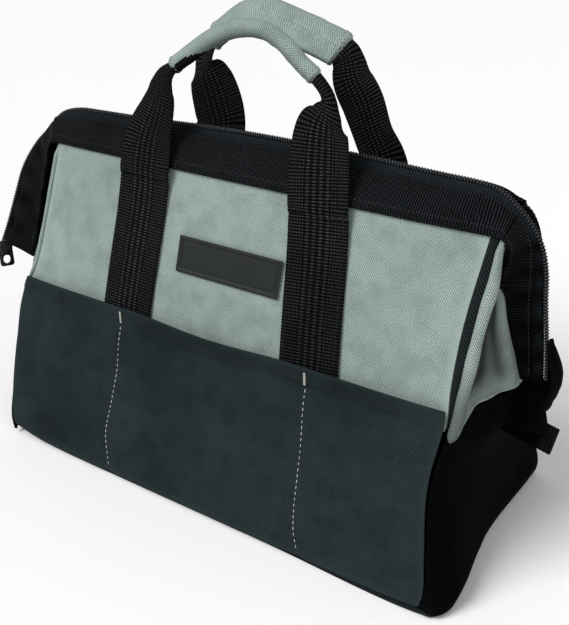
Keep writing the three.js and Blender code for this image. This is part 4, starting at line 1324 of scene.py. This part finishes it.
def sleevePoint(path, values, around, along):
    low, high = path["grip"]
    middle, across, face, halfWide, half, full = sectionAt(path, mix(low, high, along))
    skin = 2 * pi * around
    wide, thick = roundRibbon(skin, values["square"])
    end = min(along, 1 - along)
    turned = ease(0, sleeve["lip"], end)
    room = values["room"] * turned + wall["sleeve"] * turned - 0.3 * (1 - turned)
    # the end hem is a little thicker, and the middle of the roll uneven
    room += 0.35 * bump(end, sleeve["lip"] * 1.6, sleeve["lip"] * 0.8)
    room += 0.35 * rumple(along * 260 + 4 * thick, 6 * wide, 24, 31) * turned
    seam = 0.6 * bump(around, 0.75, 0.03)
    spread = halfWide * 1.06 + room
    return middle + across * wide * spread + face * thick * (half * 1.15 + room - seam)


frontPath = handlePath(front, frontLoop, 20, (-1.02, -0.98, 1.06, 0.905))
backPath = handlePath(back, backLoop, 48, (-1, -0.82, 1.035, 1.035))
for path, name in ((frontPath, "front"), (backPath, "back")):
    middles, length = path["middles"], path["run"][-1]
    strap = clothTube(
        name + "StrapWebbing", handle["grid"], partial(strapPoint, path), (104, length), "webbing",
        [name + "_handle"],
    )
    spaceWeave(strap, 1, length, partial(runAt, path["run"]))
    low, high = path["grip"]
    start = runAt(path["run"], low)
    gripLength = runAt(path["run"], high) - start
    flat = (sleeve[name]["girth"], gripLength)
    skinAt = partial(sleevePoint, path, sleeve[name])
    grip = clothTube(
        name + "GripSleeve", sleeve["grid"], skinAt, flat, "greyCloth", [name + "_grip"]
    )
    if name == "front":
        # the faces of the front sleeve that turn down take the black webbing finish: partly the
        # bare webbing under the roll, partly painted shade on the sleeve's underside
        grip.data.materials.append(finishes["webbing"]["material"])
        for face in grip.data.polygons:
            fading = ease(sleeve["webbingAndShadeTo"] - 32, sleeve["webbingAndShadeTo"], face.center.x / metre)
            face.material_index = 1 if face.normal.z < mix(-0.1, -1, fading) else 0
    # painted shade on the sleeve, darker on faces that turn down
    shadeFolds(grip, flat, lambda u, v, normal: 0.75 * ease(0.35, -0.8, normal.z))
    spaceWeave(grip, 1, gripLength, lambda share: runAt(path["run"], mix(low, high, share)) - start)
    sewing = []
    for along in (0.045, 0.955):
        t = mix(low, high, along)
        middle = onCurve(middles, t)
        ringLine = [skinAt(i / 48, along) for i in range(49)]
        grown = [spot + (spot - middle).normalized() * 0.1 for spot in ringLine]
        sewing += sewStitches(grown, wayOf(middles, t), "gripEnd")
    underLine = [skinAt(0.75, mix(0.05, 0.95, i / 80)) for i in range(81)]
    sewing += sewStitches(underLine, xWay, "gripSeam")
    makeGrains(name + "GripStitches", sewing, "greyThread")

    # rows of stitches that hold the strap down, along both its edges and across the band
    sewing = []
    lies = 6 / (len(middles) - 1)
    for tFrom, tTo in ((0.02, lies), (1 - lies, 0.98)):
        for edge in (-0.86, 0.86):
            line = []
            for i in range(61):
                middle, across, face, halfWide, half, _ = sectionAt(path, mix(tFrom, tTo, i / 60))
                outer = face * half * (1 if face.y * path["side"] > 0 else -1)
                line.append(middle + across * edge * halfWide + outer * 1.05)
            sewing += sewStitches(line, xWay, "strap")
    makeGrains(name + "StrapStitches", sewing, "darkThread")
print("handles made")

# Blank patch on the front

patch = {
    "width": 96, "height": 27, "thickness": 1.6, "x": 6.5, "z": 193.5, "border": 2.4,
    "raised": 0.45,
}


def patchPoint(u, v):
    x = patch["x"] + (u - 0.5) * patch["width"]
    z = patch["z"] + (v - 0.5) * patch["height"]
    inner = min(min(u, 1 - u) * patch["width"], min(v, 1 - v) * patch["height"])
    border = patch["border"]
    frameRise = patch["raised"] * (ease(0.1, 0.7, inner) - ease(border - 0.4, border + 0.4, inner))
    groove = 0.3 * bump(inner, border + 1.5, 0.55)
    return onPanel(front, x, z, gap + patch["thickness"] + frameRise - groove)


clothSheet(
    "blankPatch", (192, 56), patchPoint, (96, 27), patch["thickness"], "mouldedPatch",
    ["label_patch"],
)
sewing = []
inset = patch["border"] + 1.5
wideTo, highTo = patch["width"] - inset, patch["height"] - inset
corners = [(inset, inset), (wideTo, inset), (wideTo, highTo), (inset, highTo), (inset, inset)]
for (x0, z0), (x1, z1) in zip(corners, corners[1:]):
    line = []
    for i in range(41):
        x, z = mix(x0, x1, i / 40), mix(z0, z1, i / 40)
        line.append(patchPoint(x / patch["width"], z / patch["height"]) + Vector((0, -0.15, 0.05)))
    sewing += sewStitches(line, zWay if z0 == z1 else xWay, "patch")
makeGrains("patchStitches", sewing, "darkThread")
print("patch made")

# Floor, light and frame

studio = {
    "world": 0.46, "sun": {"from": (-0.34, -0.62, 0.7), "strength": 2.6, "angle": 34},
    "fill": {"place": (1.5, -0.7, 1.2), "aim": (0.1, 0, 0.15), "size": 0.9, "watts": 5},
}


def makeStudio(values):
    scene = bpy.context.scene
    scene.view_settings.view_transform = "Standard"
    scene.world = bpy.data.worlds.new("studioWorld")
    scene.world.use_nodes = True
    glow = {"Color": (1, 1, 1, 1), "Strength": values["world"]}
    wire(scene.world.node_tree, scene.world.node_tree.nodes["Background"], glow)
    sun = bpy.data.lights.new("softSun", "SUN")
    sun.energy = values["sun"]["strength"]
    sun.angle = radians(values["sun"]["angle"])
    fill = bpy.data.lights.new("sideFill", "AREA")
    fill.size, fill.energy = values["fill"]["size"], values["fill"]["watts"]
    for lamp, place, aim in (
        (sun, values["sun"]["from"], (0, 0, 0)),
        (fill, values["fill"]["place"], values["fill"]["aim"]),
    ):
        holder = addObject(lamp.name, lamp)
        holder.location = place
        way = Vector(aim) - Vector(place)
        holder.rotation_euler = way.to_track_quat("-Z", "Y").to_euler()
    ground = bmesh.new()
    bmesh.ops.create_grid(ground, x_segments=4, y_segments=4, size=6)
    floor = addObject("floor", intoMesh("floor", ground))
    paper, tree, shader = newMaterial("paleFloor")
    wire(tree, shader, {"Base Color": (0.93, 0.93, 0.93, 1), "Roughness": 0.9})
    floor.data.materials.append(paper)


makeStudio(studio)
print("studio made")
